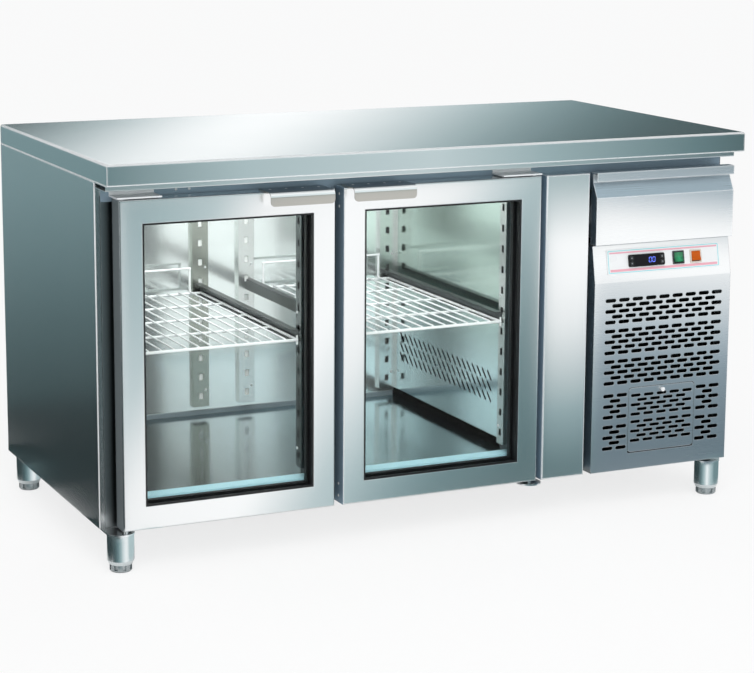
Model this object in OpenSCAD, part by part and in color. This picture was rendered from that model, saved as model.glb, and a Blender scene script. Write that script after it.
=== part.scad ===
// Refrigerated counter: two glass doors, a fixed post, and a machine bay with a neutral drawer on the right.
// Millimetres. X to the right, Y to the back, Z up, origin on the floor under the middle of the worktop.

/* [Overall] */
// Width of the worktop
overall_w = 1360; // [1300:10:1480]
// Depth of the worktop
overall_d = 700; // [660:10:760]
// Clear height under the body with the feet screwed in
leg_gap = 74; // [70:1:110]
// Height of the body between the base and the worktop
body_h = 654; // [640:2:700]
// Height of the worktop edge
top_t = 40; // [30:1:50]
// Worktop overhang past the right side of the body
right_overhang = 6; // [2:1:20]
// Sheet thickness of panels and covers
sheet_t = 1.2; // [0.8:0.1:2]
// Radius of the worktop's top folds
fold_r = 4; // [2.5:0.5:8]
// Width of the hem turned in under the worktop
hem_w = 22; // [12:1:40]
// Height of the front rail under the worktop
rail_h = 10; // [6:1:14]
// How far the front rail sits behind the worktop edge
rail_setback = 9; // [4:1:20]
// How far the front rail stops short of the worktop's right end
rail_short = 19; // [8:1:40]

/* [Walls] */
// Thickness of the insulated back wall
back_wall_t = 50; // [40:1:60]
// Thickness of the insulated floor
floor_t = 48; // [40:1:56]
// Thickness of the insulated ceiling
ceiling_t = 56; // [50:1:64]
// Thickness of the insulated wall beside the machine bay
partition_t = 48; // [40:1:60]
// Depth of the carcass front frame
frame_d = 20; // [14:1:30]
// Width of the mullion between the doors
mullion_w = 66; // [60:1:80]
// Depth of the mullion and of the right jamb
mullion_d = 60; // [60:1:80]
// Width of the left side panel's front fold
side_return = 12; // [6:1:20]
// Thickness of the pale strips round the openings
breaker_t = 4; // [2:0.5:6]
// Depth of the pale strips along the sill and the ceiling
breaker_d = 33; // [22:1:33]
// Depth of the upright pale strips
breaker_side_d = 9; // [6:1:20]

/* [Doors] */
// From the left side of the body to the left door
door_inset = 30; // [20:1:40]
// Gap between the two doors
door_gap = 18; // [14:1:24]
// Door thickness
door_t = 40; // [38:1:50]
// Width of the door frame
frame_w = 44; // [40:1:56]
// Door face behind the worktop edge
door_setback = 25; // [22:1:40]
// Door bottom above the base of the body
door_lift = 4; // [3.5:0.5:8]
// Door top below the worktop
door_top_gap = 30; // [26:1:36]
// Space that the seal fills between door and carcass
seal_gap = 12; // [9:1:16]
// Width that the door laps over the opening's edge at the sides
door_lap = 25; // [24:1:32]
// Radius of the door's front edges
door_r = 2.5; // [1:0.5:4]
// Front lip of the frame before the glazing
lip_t = 5; // [3:0.5:7]
// Thickness of the glazing bead
bead_t = 2; // [1.5:0.5:3]
// Visible width of the glazing bead
bead_rim = 3.5; // [2:0.5:6]
// Thickness of one pane
pane_t = 4; // [3:0.5:5]
// Air space between the panes
spacer_t = 14; // [10:1:15]
// How far the panes reach into the frame
pane_bite = 12; // [9:1:16]
// Width of the magnetic seal
seal_w = 14; // [10:1:14]
// Seal in from the door's edges
seal_inset = 10; // [9.5:0.5:11]

/* [Handles and hinges] */
// Handle length
handle_w = 130; // [90:1:180]
// Handle in from the door's free edge
handle_inset = 11; // [6:1:30]
// Handle sheet thickness
handle_t = 2; // [1.5:0.5:3]
// Depth of the handle's flange on the door top
handle_flange = 35; // [24:1:38]
// How far the handle stands out from the door face
handle_reach = 25; // [20:1:25]
// Height of the handle's drop
handle_drop = 26; // [20:1:34]
// Outer radius of the handle's nose
handle_r = 11; // [6:1:14]
// Radius of the handle's lower corners
handle_corner = 8; // [3:1:11]
// Hinge pin diameter
pin_d = 8; // [6:1:10]
// Hinge pin length inside the door
pin_l = 18; // [12:1:24]
// Running clearance round a pin or stud
pin_clear = 0.1; // [0.05:0.01:0.1]
// Pin axis in from the door's side
pin_inset = 9; // [8:0.5:10]
// Pin axis behind the door face
pin_depth = 14; // [12:1:16]
// Thickness of hinge and leg plates
plate_t = 3; // [2:0.5:4]
// Length of a top hinge plate
hinge_l = 86; // [60:1:110]
// Radius of the nose of a bottom hinge plate
hinge_nose = 24; // [16:1:26]
// How far leg and hinge plates reach back under the base from the carcass front
plate_reach = 75; // [40:1:120]

/* [Inside] */
// Width of the front pilasters
pilaster_w = 20; // [14:1:24]
// Depth of the front pilasters
pilaster_d = 26; // [20:1:26]
// Width of the rear pilasters
rear_pilaster_w = 36; // [24:1:38]
// Depth of the rear pilasters
rear_pilaster_d = 12; // [8:1:18]
// Pilaster ends clear of floor and ceiling
pilaster_end = 20; // [10:1:40]
// Slot pitch of the pilasters
pilaster_pitch = 42; // [30:1:50]
// Slot height of the pilasters
pilaster_slot_h = 14; // [8:1:16]
// Slot width of the pilasters
pilaster_slot_w = 9; // [4:0.5:10]
// Height of the shelf guides above the chamber floor
guide_z = 271; // [180:1:330]
// Height of a shelf guide
guide_h = 23; // [16:1:30]
// Width of a shelf guide's flanges
guide_w = 14; // [10:1:20]
// Side clearance of a shelf between its guides
shelf_clear = 1.3; // [0.5:0.1:3]
// Front of the shelf behind the carcass front
shelf_front_gap = 15; // [8:1:20]
// Back of the shelf before the back wall
shelf_back_gap = 28; // [16:1:40]
// Diameter of the shelf's frame rods
shelf_rod_d = 6; // [4:0.5:8]
// Diameter of the shelf's cross rods
shelf_cross_d = 5; // [4:0.5:7]
// Diameter of the shelf's long wires
shelf_wire_d = 3.6; // [3:0.2:5]
// Pitch of the shelf's long wires
shelf_pitch = 25; // [20:1:40]
// Number of bays between the shelf's cross rods
shelf_bays = 4; // [3:1:6]
// Height of the shelf's back stop
stop_h = 55; // [30:1:70]
// Back stop in from the shelf's sides
stop_inset = 26; // [18:1:60]
// Air gap under the evaporator cover
cover_gap = 20; // [12:1:40]
// Length of a cover slot
cover_slot_l = 27; // [20:1:30]
// Width of a cover slot
cover_slot_w = 5.5; // [4:0.5:7]
// Slope of the cover slots in degrees
cover_slot_a = 45; // [30:1:60]
// Column pitch of the cover slots
cover_pitch = 23; // [20:1:30]
// Row pitch of the cover slots
cover_row = 23; // [22:1:30]
// Height of the slot field's middle row above the floor
cover_slot_z = 120; // [90:1:150]

/* [Post, drawer and fascia] */
// Gap between the right door and the post
post_gap = 12; // [10:1:16]
// Post width
post_w = 98; // [80:1:120]
// Gap between the post and the fascia
bay_gap = 17; // [12:1:24]
// Width of drawer front and fascia
bay_w = 325; // [310:1:360]
// Height of the drawer front
drawer_h = 147; // [130:1:170]
// Thickness of the drawer front
drawer_t = 22; // [18:1:26]
// Height of the drawer's grip lip
lip_h = 18; // [12:1:22]
// Thickness of the drawer's grip lip
lip_edge = 2.4; // [1.5:0.1:4]
// Depth of the grip recess
recess_d = 16; // [12:1:16]
// Height of the sloping face under the grip
slope_h = 30; // [24:1:40]
// Depth of the drawer box
drawer_box_d = 430; // [360:5:500]
// Height of the drawer box
drawer_box_h = 90; // [60:1:96]
// Width of a drawer runner
runner_w = 12; // [10:1:14]
// Height of a drawer runner
runner_h = 40; // [30:1:50]
// Clearance between sliding pieces
slide_clear = 0.5; // [0.4:0.1:0.8]
// Gap between the drawer front and the fascia
drawer_gap = 3; // [2:0.5:6]
// Height of the tilted control part
tilt_h = 75; // [70:1:90]
// Set-back of the tilted part's top edge
tilt_set = 14; // [6:1:20]
// Length of a grille slot
grille_slot_l = 25; // [18:1:27]
// Width of a grille slot
grille_slot_w = 7.5; // [5:0.5:8]
// Column pitch of the grille slots
grille_pitch = 31.8; // [30:0.2:34]
// Row pitch of the grille slots
grille_row = 11.2; // [10:0.2:12]
// Pitch of the slot groups
group_pitch = 63.5; // [60:0.5:66]
// First slot row below the fold
grille_top = 37; // [24:1:40]
// Slot field and flap to the right of the fascia's middle
grille_shift = 3; // [0:0.5:6]
// Width of the access flap
flap_w = 157; // [140:1:160]
// Height of the access flap
flap_h = 135; // [120:1:140]
// Corner radius of the access flap
flap_r = 7; // [4:1:12]
// Gap round the access flap
flap_gap = 1; // [0.6:0.1:1.5]
// Gap under the access flap
flap_foot_gap = 2; // [1.8:0.1:3]
// Flap's bottom edge above the fascia's
flap_foot = 36; // [20:1:40]
// Thickness of the access flap
flap_t = 1.5; // [1.2:0.1:2]
// Diameter of the flap's pull knob
knob_d = 9; // [7:0.5:12]

/* [Controls] */
// Width of the control plate
plate_w = 270; // [250:1:280]
// Height of the control plate
plate_h = 52; // [44:1:54]
// Thickness of the control plate
overlay_t = 0.8; // [0.5:0.1:1.5]
// Width of the controller's front
controller_w = 84; // [76:1:90]
// Height of the controller's front
controller_h = 25; // [24:1:34]
// How far the controller's front stands out
controller_t = 5; // [4:0.5:8]
// Controller to the left of the plate's middle
controller_shift = 43; // [36:1:50]
// Width of a controller key
key_w = 7.5; // [5:0.5:8]
// Height of a controller key
key_h = 8.5; // [6:0.5:9]
// Key travel
key_travel = 0.8; // [0.5:0.1:1]
// Width and height of a switch bezel
switch_s = 27; // [26:0.5:30]
// Green switch to the right of the plate's middle
green_shift = 34; // [32:1:38]
// Orange switch to the right of the plate's middle
orange_shift = 76; // [68:1:84]
// Rocker angle each side of level
rocker_a = 7; // [4:1:8]

/* [Legs] */
// Leg tube diameter
leg_d = 51; // [44:1:54]
// Leg axis in from the body's sides
leg_inset = 30; // [28:1:40]
// Front leg axis behind the worktop edge
leg_front = 45; // [38:1:60]
// Rear leg axis before the worktop's back
leg_rear = 48; // [36:1:80]
// Height of the foot under the leg tube
foot_h = 14; // [12:1:20]
// Foot diameter
foot_d = 42; // [36:1:43]
// Diameter of the foot's stud
stud_d = 20; // [14:1:24]
// How far a foot can be screwed out
foot_travel = 25; // [15:1:30]

/* [Machine bay] */
// Compressor diameter
compressor_d = 170; // [150:1:190]
// Compressor height
compressor_h = 190; // [160:1:220]
// Condenser width
condenser_w = 285; // [240:1:290]
// Condenser height
condenser_h = 320; // [280:1:330]
// Condenser depth
condenser_d = 44; // [30:1:50]
// Condenser fan radius
fan_r = 100; // [80:1:110]
// Evaporator fan radius
evap_fan_r = 50; // [40:1:55]

/* [Hidden] */

steel = "#c3c9ca";
dark_steel = "#7d8789";
black = "#1b1d1f";
pale = "#cfe3e8";
foam = "#e6d9a8";
clear = "#b9d4d8";
white = "#f2f4f4";
copper = "#b0683c";

// Small gaps: between sheets of one shell, and between pieces that move past each other
seam = 0.2;
part_gap = 0.3;
// Cuts run this far past the faces that they open
cut = 1;
round_fn = 48;
slot_fn = 24;
rod_fn = 12;

// Main planes
x_l = -overall_w / 2;
x_top_r = overall_w / 2;
x_r = x_top_r - right_overhang;
y_f = -overall_d / 2;
y_b = overall_d / 2;
z_base = leg_gap;
z_body_top = z_base + body_h;
z_top = z_body_top + top_t;
y_rail = y_f + rail_setback;
z_rail = z_body_top - rail_h;

// Doors, post and machine bay across the front
door_w = (x_r - x_l - door_inset - door_gap - post_gap - post_w - bay_gap - bay_w) / 2;
door_h = body_h - door_lift - door_top_gap;
y_door = y_f + door_setback;
y_door_back = y_door + door_t;
y_body = y_door_back + seal_gap;
z_door = z_base + door_lift;
z_door_top = z_door + door_h;
x_d1 = x_l + door_inset;
x_d2 = x_d1 + door_w + door_gap;
x_post = x_d2 + door_w + post_gap;
x_fas = x_r - bay_w;
x_bay = x_fas - bay_gap / 2;

// Chamber
x_in = x_d1 + door_lap;
x_cov = x_d2 + door_w - door_lap;
x_ml = x_d2 - door_gap / 2 - mullion_w / 2;
x_mr = x_ml + mullion_w;
x_part = x_bay - partition_t;
y_frame_b = y_body + frame_d;
y_jamb_b = y_body + mullion_d;
y_back_in = y_b - back_wall_t;
z_floor = z_base + floor_t;
z_ceil = z_body_top - ceiling_t;
bays = [[x_in, x_ml], [x_mr, x_cov]];

// Hinge pins, one per door
y_pin = y_door + pin_depth;
x_pin_left = x_d1 + pin_inset;
x_pin_right = x_d2 + door_w - pin_inset;

// Legs
x_legs = [x_l + leg_inset, x_r - leg_inset];
y_legs = [y_f + leg_front, y_b - leg_rear];
z_plate = z_base - plate_t;
leg_taper = 8;
leg_foot_d = foot_d + 1;

// Shelf guides and shelves
z_guide = z_floor + guide_z;
y_pilaster = y_body + breaker_side_d + cut;
y_shelf_f = y_body + shelf_front_gap;
y_shelf_b = y_back_in - shelf_back_gap;
guide_set = 1.5;
y_guide_f = y_shelf_f + shelf_rod_d + guide_set;
y_guide_b = y_back_in - rear_pilaster_d;

// Drawer and fascia
drawer_drop = 1;
z_drawer_top = z_door_top - drawer_drop;
z_drawer = z_drawer_top - drawer_h;
z_fas_top = z_drawer - drawer_gap;
z_bend = z_fas_top - tilt_h;
tilt_a = atan(tilt_set / tilt_h);
tilt_l = norm([tilt_h, tilt_set]);
y_drawer_back = y_door + drawer_t;
x_grille = x_fas + bay_w / 2 + grille_shift;
x_box_l = x_bay + runner_w + slide_clear;
x_box_r = x_r - sheet_t - runner_w - slide_clear;
box_lift = 12;
z_box = z_drawer + box_lift;
z_runner = z_box + (drawer_box_h - runner_h) / 2;

// Grille: columns of the long rows, rows per group, groups over the full width and beside the flap.
// Its heights, and the flap's, are stretched by one factor to fill the flat part under the fold
grille_cols = 9;
grille_rows = 5;
full_groups = 3;
side_groups = 2;
side_drop = 71;
side_pitch = 65.5;
flap_over = 12;
grille_need = grille_top + (full_groups - 1) * group_pitch + side_drop - flap_over + flap_h + flap_foot;
stretch = (z_bend - z_door) / grille_need;
z_flap = z_door + stretch * flap_foot;
z_flap_top = z_flap + stretch * flap_h;
z_row1 = z_bend - stretch * grille_top;
z_side1 = z_flap_top - stretch * flap_over;

// Access flap, on pins in two lugs behind the fascia; the opening's lower corners leave room for its swing
x_flap = x_grille - flap_w / 2;
flap_cols = 5;
flap_slot_l = 23.5;
flap_slot_w = 6.4;
flap_pitch = 31;
flap_row = 9.9;
flap_group = 55.5;
flap_first = 16;
flap_axis_in = [3.2, 3];
flap_axis = [y_door, z_flap] + flap_axis_in;
flap_pin_d = 3;
flap_barrel_d = 5;
swing_r = 4;
lug_t = 3;
lug_gap = 0.5;
lug_reach = 4;
flap_pin_out = flap_gap + lug_gap + lug_t;

// Controls on the tilted part, in its own plane
plate_rise = 3;
plate_v = tilt_l / 2 + plate_rise;
plate_r = 3;
controller_u = -controller_shift;
controller_rim = [6.5, 2];
controller_body = [controller_w, controller_h] - 2 * controller_rim;
key_edge = 2.2;
key_close = 0.7;
key_r = 1;
key_u = (controller_w - key_w) / 2 - key_edge;
key_v = controller_h / 4 - key_close;
key_proud = 0.4;
key_l = 3.6;
switch_rim = [2.9, 2.7];
switch_open = [switch_s, switch_s] - 2 * switch_rim;
switch_r = 1.5;
switch_wall = 1.2;
switch_flange = 2.2;
switch_depth = 18;
rocker_pin_d = 3;
rocker_pivot = -2;

// Fans
fan_blades = 5;
blade_share = 0.52;
fan_pitch = 30;
fan_hub_r = 24;
fan_hub_l = 30;
fan_shaft_d = 8;
fan_tip = 8;
fan_sink = 8;
condenser_gap = 10;
condenser_x = x_fas + bay_w / 2;
condenser_y = y_body + condenser_gap;
condenser_z = z_base + sheet_t;
fan_z = condenser_z + condenser_h / 2;
shroud_d = 22;
y_fan = condenser_y + condenser_d + shroud_d - fan_sink;
evap_hub_r = 16;
evap_hub_l = 18;
evap_shaft_d = 6;
evap_pitch = 35;
evap_fan_gap = 18;
evap_fan_x = x_cov + evap_fan_gap;
evap_fan_y = (y_jamb_b + y_back_in) / 2;
evap_fan_z = z_floor + cover_slot_z;
evap_coil_w = 50;
evap_coil_rise = 90;
evap_coil_z = evap_fan_z + evap_coil_rise;

// Supply lead
gland_shift = 110;
x_gland = condenser_x - gland_shift;

module box(x0, x1, y0, y1, z0, z1) {
    translate([x0, y0, z0])
        cube([x1 - x0, y1 - y0, z1 - z0]);
}

module rect(a0, a1, b0, b1) {
    translate([a0, b0])
        square([a1 - a0, b1 - b0]);
}

module round_rect(a0, a1, b0, b1, r) {
    rect(a0 + r, a1 - r, b0, b1);
    rect(a0, a1, b0 + r, b1 - r);
    for (a = [a0 + r, a1 - r], b = [b0 + r, b1 - r])
        translate([a, b])
            circle(r, $fn = round_fn);
}

module slot(l, w) {
    square([l - w, w], center = true);
    for (s = [-1, 1])
        translate([s * (l - w) / 2, 0])
            circle(d = w, $fn = slot_fn);
}

// Extrusions of a (y, z), (x, z) or (x, y) outline along X, Y or Z
module along_x(x0, x1) {
    translate([x0, 0, 0])
        rotate([90, 0, 90])
            linear_extrude(x1 - x0)
                children();
}

module along_y(y0, y1) {
    translate([0, y1, 0])
        rotate([90, 0, 0])
            linear_extrude(y1 - y0)
                children();
}

module along_z(z0, z1) {
    translate([0, 0, z0])
        linear_extrude(z1 - z0)
            children();
}

module rod_x(x0, x1, y, z, d) {
    translate([x0, y, z])
        rotate([0, 90, 0])
            cylinder(d = d, h = x1 - x0, $fn = rod_fn);
}

module rod_y(x, y0, y1, z, d) {
    translate([x, y0, z])
        rotate([-90, 0, 0])
            cylinder(d = d, h = y1 - y0, $fn = rod_fn);
}

module rod_z(x, y, z0, z1, d) {
    translate([x, y, z0])
        cylinder(d = d, h = z1 - z0, $fn = rod_fn);
}

// A slab whose four front edges are rounded
module front_slab(x0, x1, y0, y1, z0, z1, r) {
    intersection() {
        along_z(z0, z1) {
            rect(x0, x1, y0 + r, y1);
            rect(x0 + r, x1 - r, y0, y1);
            for (x = [x0 + r, x1 - r])
                translate([x, y0 + r])
                    circle(r, $fn = round_fn);
        }
        along_x(x0, x1) {
            rect(y0 + r, y1, z0, z1);
            rect(y0, y1, z0 + r, z1 - r);
            for (z = [z0 + r, z1 - r])
                translate([y0 + r, z])
                    circle(r, $fn = round_fn);
        }
    }
}

// A rectangular ring in the XZ plane
module ring(x0, x1, z0, z1, w, y0, y1) {
    difference() {
        box(x0, x1, y0, y1, z0, z1);
        box(x0 + w, x1 - w, y0 - cut, y1 + cut, z0 + w, z1 - w);
    }
}

// Axial fan with its axis on Z, from z = 0 to the hub's length
module fan(r, hub_r, hub_l, pitch, bore_d) {
    blade_t = 2;
    blade_w = blade_share * r;
    difference() {
        union() {
            cylinder(r = hub_r, h = hub_l, $fn = round_fn);
            intersection() {
                cylinder(r = r, h = hub_l, $fn = round_fn);
                for (i = [0 : fan_blades - 1])
                    rotate([0, 0, i * 360 / fan_blades])
                        translate([0, 0, hub_l / 2])
                            rotate([pitch, 0, 0])
                                translate([hub_r - blade_t, -blade_w / 2, -blade_t / 2])
                                    cube([r, blade_w, blade_t]);
            }
        }
        translate([0, 0, -cut])
            cylinder(d = bore_d, h = hub_l + 2 * cut, $fn = round_fn);
    }
}

// Finned coil: tubes along Y or X carried by end plates and fins, with the fins square to the tubes
module coil(length, depth, height, fins, tubes, tube_d) {
    fin_t = 1;
    end_t = 3;
    pitch = (length - end_t) / (fins - 1);
    for (i = [0 : fins - 1]) {
        t = (i == 0 || i == fins - 1) ? end_t : fin_t;
        translate([i * pitch + (end_t - t) / 2, 0, 0])
            cube([t, depth, height]);
    }
    for (i = [0 : tubes - 1])
        translate([-tube_d, depth / 2, (i + 0.5) * height / tubes])
            rotate([0, 90, 0])
                cylinder(d = tube_d, h = length + 2 * tube_d, $fn = slot_fn);
}

module top_edges(a0, a1) {
    rect(a0, a1, z_body_top, z_top - fold_r);
    rect(a0 + fold_r, a1 - fold_r, z_body_top, z_top);
    for (a = [a0 + fold_r, a1 - fold_r])
        translate([a, z_top - fold_r])
            circle(fold_r, $fn = round_fn);
}

// Folded skin with a hem round its underside
module worktop() {
    s = sheet_t;
    color(steel)
        difference() {
            intersection() {
                along_x(x_l, x_top_r)
                    top_edges(y_f, y_b);
                along_y(y_f, y_b)
                    top_edges(x_l, x_top_r);
            }
            box(x_l + s, x_top_r - s, y_f + s, y_b - s, z_body_top + s, z_top - s);
            box(x_l + hem_w, x_top_r - hem_w, y_f + hem_w, y_b - hem_w, z_body_top - cut, z_top - top_t / 2);
        }
}

module front_rail() {
    s = sheet_t;
    r = 2;
    color(steel)
        along_x(x_l, x_top_r - rail_short)
            difference() {
                union() {
                    rect(y_rail + r, y_body, z_rail, z_body_top);
                    rect(y_rail, y_body, z_rail + r, z_body_top);
                    translate([y_rail + r, z_rail + r])
                        circle(r, $fn = round_fn);
                }
                rect(y_rail + s, y_body + cut, z_rail + s, z_body_top - s);
            }
}

module left_side_panel() {
    s = sheet_t;
    r = 2.5;
    color(steel)
        along_z(z_base, z_body_top)
            difference() {
                union() {
                    rect(x_l, x_l + side_return, y_body + r, y_b);
                    rect(x_l + r, x_l + side_return, y_body, y_b);
                    translate([x_l + r, y_body + r])
                        circle(r, $fn = round_fn);
                }
                rect(x_l + s, x_l + side_return + cut, y_body + s, y_b + cut);
            }
}

module right_side_panel() {
    color(steel)
        box(x_r - sheet_t, x_r, y_body, y_b, z_base, z_body_top);
}

// Outer back with an air outlet behind the machine bay
module back_panel() {
    vent_cols = 6;
    vent_rows = 12;
    vent_pitch = 38;
    vent_row = 16;
    vent_l = 28;
    vent_w = 6;
    vent_rise = 60;
    gland_d = 16;
    color(steel)
        along_y(y_b - sheet_t, y_b)
            difference() {
                rect(x_l + sheet_t, x_r - sheet_t, z_base, z_body_top);
                for (i = [0 : vent_cols - 1], j = [0 : vent_rows - 1])
                    translate([condenser_x + (i - (vent_cols - 1) / 2) * vent_pitch,
                        z_floor + vent_rise + j * vent_row])
                        slot(vent_l, vent_w);
                translate([x_gland, z_floor])
                    circle(d = gland_d, $fn = round_fn);
            }
}

module base_panel() {
    color(steel)
        box(x_l + sheet_t, x_r - sheet_t, y_body + sheet_t, y_b - sheet_t, z_base, z_base + sheet_t);
}

module partition_panel() {
    color(steel)
        box(x_bay - sheet_t, x_bay, y_jamb_b, y_b - sheet_t, z_base + sheet_t, z_body_top);
}

// Foam of the walls and the core of the worktop
module insulation() {
    s = sheet_t;
    z0 = z_base + s;
    y1 = y_b - s;
    x1 = x_bay - s;
    color(foam) {
        box(x_l + s, x_in - s, y_frame_b, y1, z0, z_body_top);
        box(x_l + s, x_l + side_return, y_body + s, y_frame_b, z0, z_body_top);
        box(x_in - s, x_cov, y_frame_b, y1, z0, z_floor - s);
        box(x_in - s, x_cov, y_frame_b, y1, z_ceil + s, z_body_top);
        box(x_cov, x1, y_jamb_b, y1, z0, z_floor - s);
        box(x_cov, x1, y_jamb_b, y1, z_ceil + s, z_body_top);
        box(x_in - s, x1, y_back_in + s, y1, z0, z_body_top);
        box(x_part + s, x1, y_jamb_b, y1, z0, z_body_top);
        box(x_l + s, x_top_r - s, y_f + s, y_b - s, z_body_top + s, z_top - s);
        box(x_l + hem_w, x_top_r - hem_w, y_f + hem_w, y_b - hem_w, z_body_top, z_body_top + 2 * s);
    }
}

// Five sheets with open seams
module inner_liner() {
    s = sheet_t;
    color(steel) {
        box(x_in - s, x_in, y_frame_b, y_back_in + s, z_floor - s, z_ceil + s);
        box(x_in + seam, x_part - seam, y_back_in, y_back_in + s, z_floor - s, z_ceil + s);
        box(x_part, x_part + s, y_jamb_b, y_back_in + s, z_floor - s, z_ceil + s);
        for (z = [z_floor - s, z_ceil]) {
            box(x_in + seam, x_cov - seam, y_frame_b, y_back_in - seam, z, z + s);
            box(x_cov, x_part - seam, y_jamb_b, y_back_in - seam, z, z + s);
        }
    }
}

// Left jamb, right jamb, header, sill, mullion and the short header over the drawer
module front_frame() {
    z0 = z_base + sheet_t;
    z1 = z_body_top;
    color(steel) {
        box(x_l + side_return, x_in, y_body, y_frame_b, z0, z1);
        box(x_cov, x_bay, y_body, y_jamb_b, z0, z1);
        box(x_in + seam, x_cov - seam, y_body, y_frame_b, z_ceil, z1);
        box(x_in + seam, x_cov - seam, y_body, y_frame_b, z0, z_floor);
        box(x_ml, x_mr, y_body, y_jamb_b, z_floor + seam, z_ceil - seam);
        box(x_bay + seam, x_r - sheet_t, y_body, y_frame_b, z_drawer_top + 3, z1);
    }
}

module breaker_strips() {
    color(pale)
        for (b = bays) {
            ring(b[0], b[1], z_floor, z_ceil, breaker_t, y_body, y_body + breaker_side_d);
            for (z = [z_floor, z_ceil - breaker_t])
                box(b[0], b[1], y_body + breaker_side_d, y_body + breaker_d, z, z + breaker_t);
        }
}

// Channel with its open side at x = 0, slots in the face at x = w, centred on y
module slotted_channel(w, d, z0, z1) {
    s = sheet_t;
    count = floor((z1 - z0 - pilaster_pitch) / pilaster_pitch) + 1;
    first = (z0 + z1) / 2 - (count - 1) * pilaster_pitch / 2;
    difference() {
        along_z(z0, z1)
            difference() {
                rect(0, w, -d / 2, d / 2);
                rect(-cut, w - s, -d / 2 + s, d / 2 - s);
            }
        for (i = [0 : count - 1]) {
            z = first + i * pilaster_pitch;
            box(w - 2 * s, w + cut, -pilaster_slot_w / 2, pilaster_slot_w / 2,
                z - pilaster_slot_h / 2, z + pilaster_slot_h / 2);
        }
    }
}

module pilasters() {
    z0 = z_floor + pilaster_end;
    z1 = z_ceil - pilaster_end;
    y_mid = y_pilaster + pilaster_d / 2;
    color(steel)
        for (b = bays) {
            translate([b[0], y_mid, 0])
                slotted_channel(pilaster_w, pilaster_d, z0, z1);
            translate([b[1], y_mid, 0])
                rotate([0, 0, 180])
                    slotted_channel(pilaster_w, pilaster_d, z0, z1);
            for (x = [b[0] + pilaster_w, b[1] - pilaster_w])
                translate([x, y_back_in, 0])
                    rotate([0, 0, -90])
                        slotted_channel(rear_pilaster_d, rear_pilaster_w, z0, z1);
        }
}

// Guide channel open towards the shelf, web at x = 0, flanges to +x
module guide() {
    s = sheet_t;
    translate([0, y_guide_b, 0])
        rotate([90, 0, 0])
            linear_extrude(y_guide_b - y_guide_f)
                difference() {
                    rect(0, guide_w, z_guide, z_guide + guide_h);
                    rect(s, guide_w + cut, z_guide + s, z_guide + guide_h - s);
                }
}

module shelf_runners() {
    color(dark_steel)
        for (b = bays) {
            translate([b[0] + pilaster_w, 0, 0])
                guide();
            translate([b[1] - pilaster_w, 0, 0])
                mirror([1, 0, 0])
                    guide();
        }
}

// Wire shelf with a raised stop at the back and hooked front corners
module wire_shelf(b) {
    side = pilaster_w + sheet_t + shelf_clear + shelf_rod_d / 2;
    x0 = b[0] + side;
    x1 = b[1] - side;
    z = z_guide + sheet_t + shelf_rod_d / 2;
    sink = 0.6;
    z_wire = z + (shelf_cross_d + shelf_wire_d) / 2 - sink;
    y0 = y_shelf_f + shelf_rod_d / 2;
    y1 = y_shelf_b - shelf_rod_d / 2;
    wires = floor((x1 - x0 - shelf_rod_d) / shelf_pitch);
    step = (x1 - x0) / (wires + 1);
    hook = 9;
    color(white) {
        for (x = [x0, x1])
            rod_y(x, y0, y1, z, shelf_rod_d);
        rod_x(x0, x1, y0, z, shelf_rod_d);
        rod_x(x0, x1, y1, z, shelf_rod_d);
        for (i = [1 : shelf_bays - 1])
            rod_x(x0, x1, y0 + i * (y1 - y0) / shelf_bays, z, shelf_cross_d);
        for (i = [1 : wires])
            rod_y(x0 + i * step, y0, y1, z_wire, shelf_wire_d);
        for (x = [x0 + stop_inset, x1 - stop_inset])
            rod_z(x, y1, z, z + stop_h, shelf_cross_d);
        rod_x(x0 + stop_inset - shelf_cross_d / 2, x1 - stop_inset + shelf_cross_d / 2, y1, z + stop_h,
            shelf_cross_d);
        for (x = [x0, x1])
            rod_z(x, y0, z - hook, z + hook, shelf_wire_d);
    }
}

module left_shelf() {
    wire_shelf(bays[0]);
}

module right_shelf() {
    wire_shelf(bays[1]);
}

// Chamber's right wall: slanted slots, and an air gap over the floor with a turned-in lip
module evaporator_cover() {
    s = sheet_t;
    lip = 14;
    y0 = y_jamb_b + seam;
    y1 = y_back_in - seam;
    z0 = z_floor + cover_gap;
    rows = 3;
    margin = 40;
    cols = floor((y1 - y0 - 2 * margin) / cover_pitch) + 1;
    color(steel) {
        along_x(x_cov, x_cov + s)
            difference() {
                rect(y0, y1, z0, z_ceil - seam);
                for (i = [0 : cols - 1], j = [0 : rows - 1])
                    translate([
                        (y0 + y1) / 2 + (i - (cols - 1) / 2) * cover_pitch,
                        z_floor + cover_slot_z + (j - (rows - 1) / 2) * cover_row
                    ])
                        rotate(cover_slot_a)
                            slot(cover_slot_l, cover_slot_w);
            }
        box(x_cov, x_cov + lip, y0, y1, z0, z0 + s);
    }
}

module evaporator_coil() {
    height = z_ceil - seam - evap_coil_z;
    length = (y_back_in - y_jamb_b) * 0.7;
    fins = 22;
    tubes = 5;
    tube_d = 10;
    color("#b9bec2")
        translate([x_part - seam, evap_fan_y - length / 2, evap_coil_z])
            rotate([0, 0, 90])
                coil(length, evap_coil_w, height, fins, tubes, tube_d);
}

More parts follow.
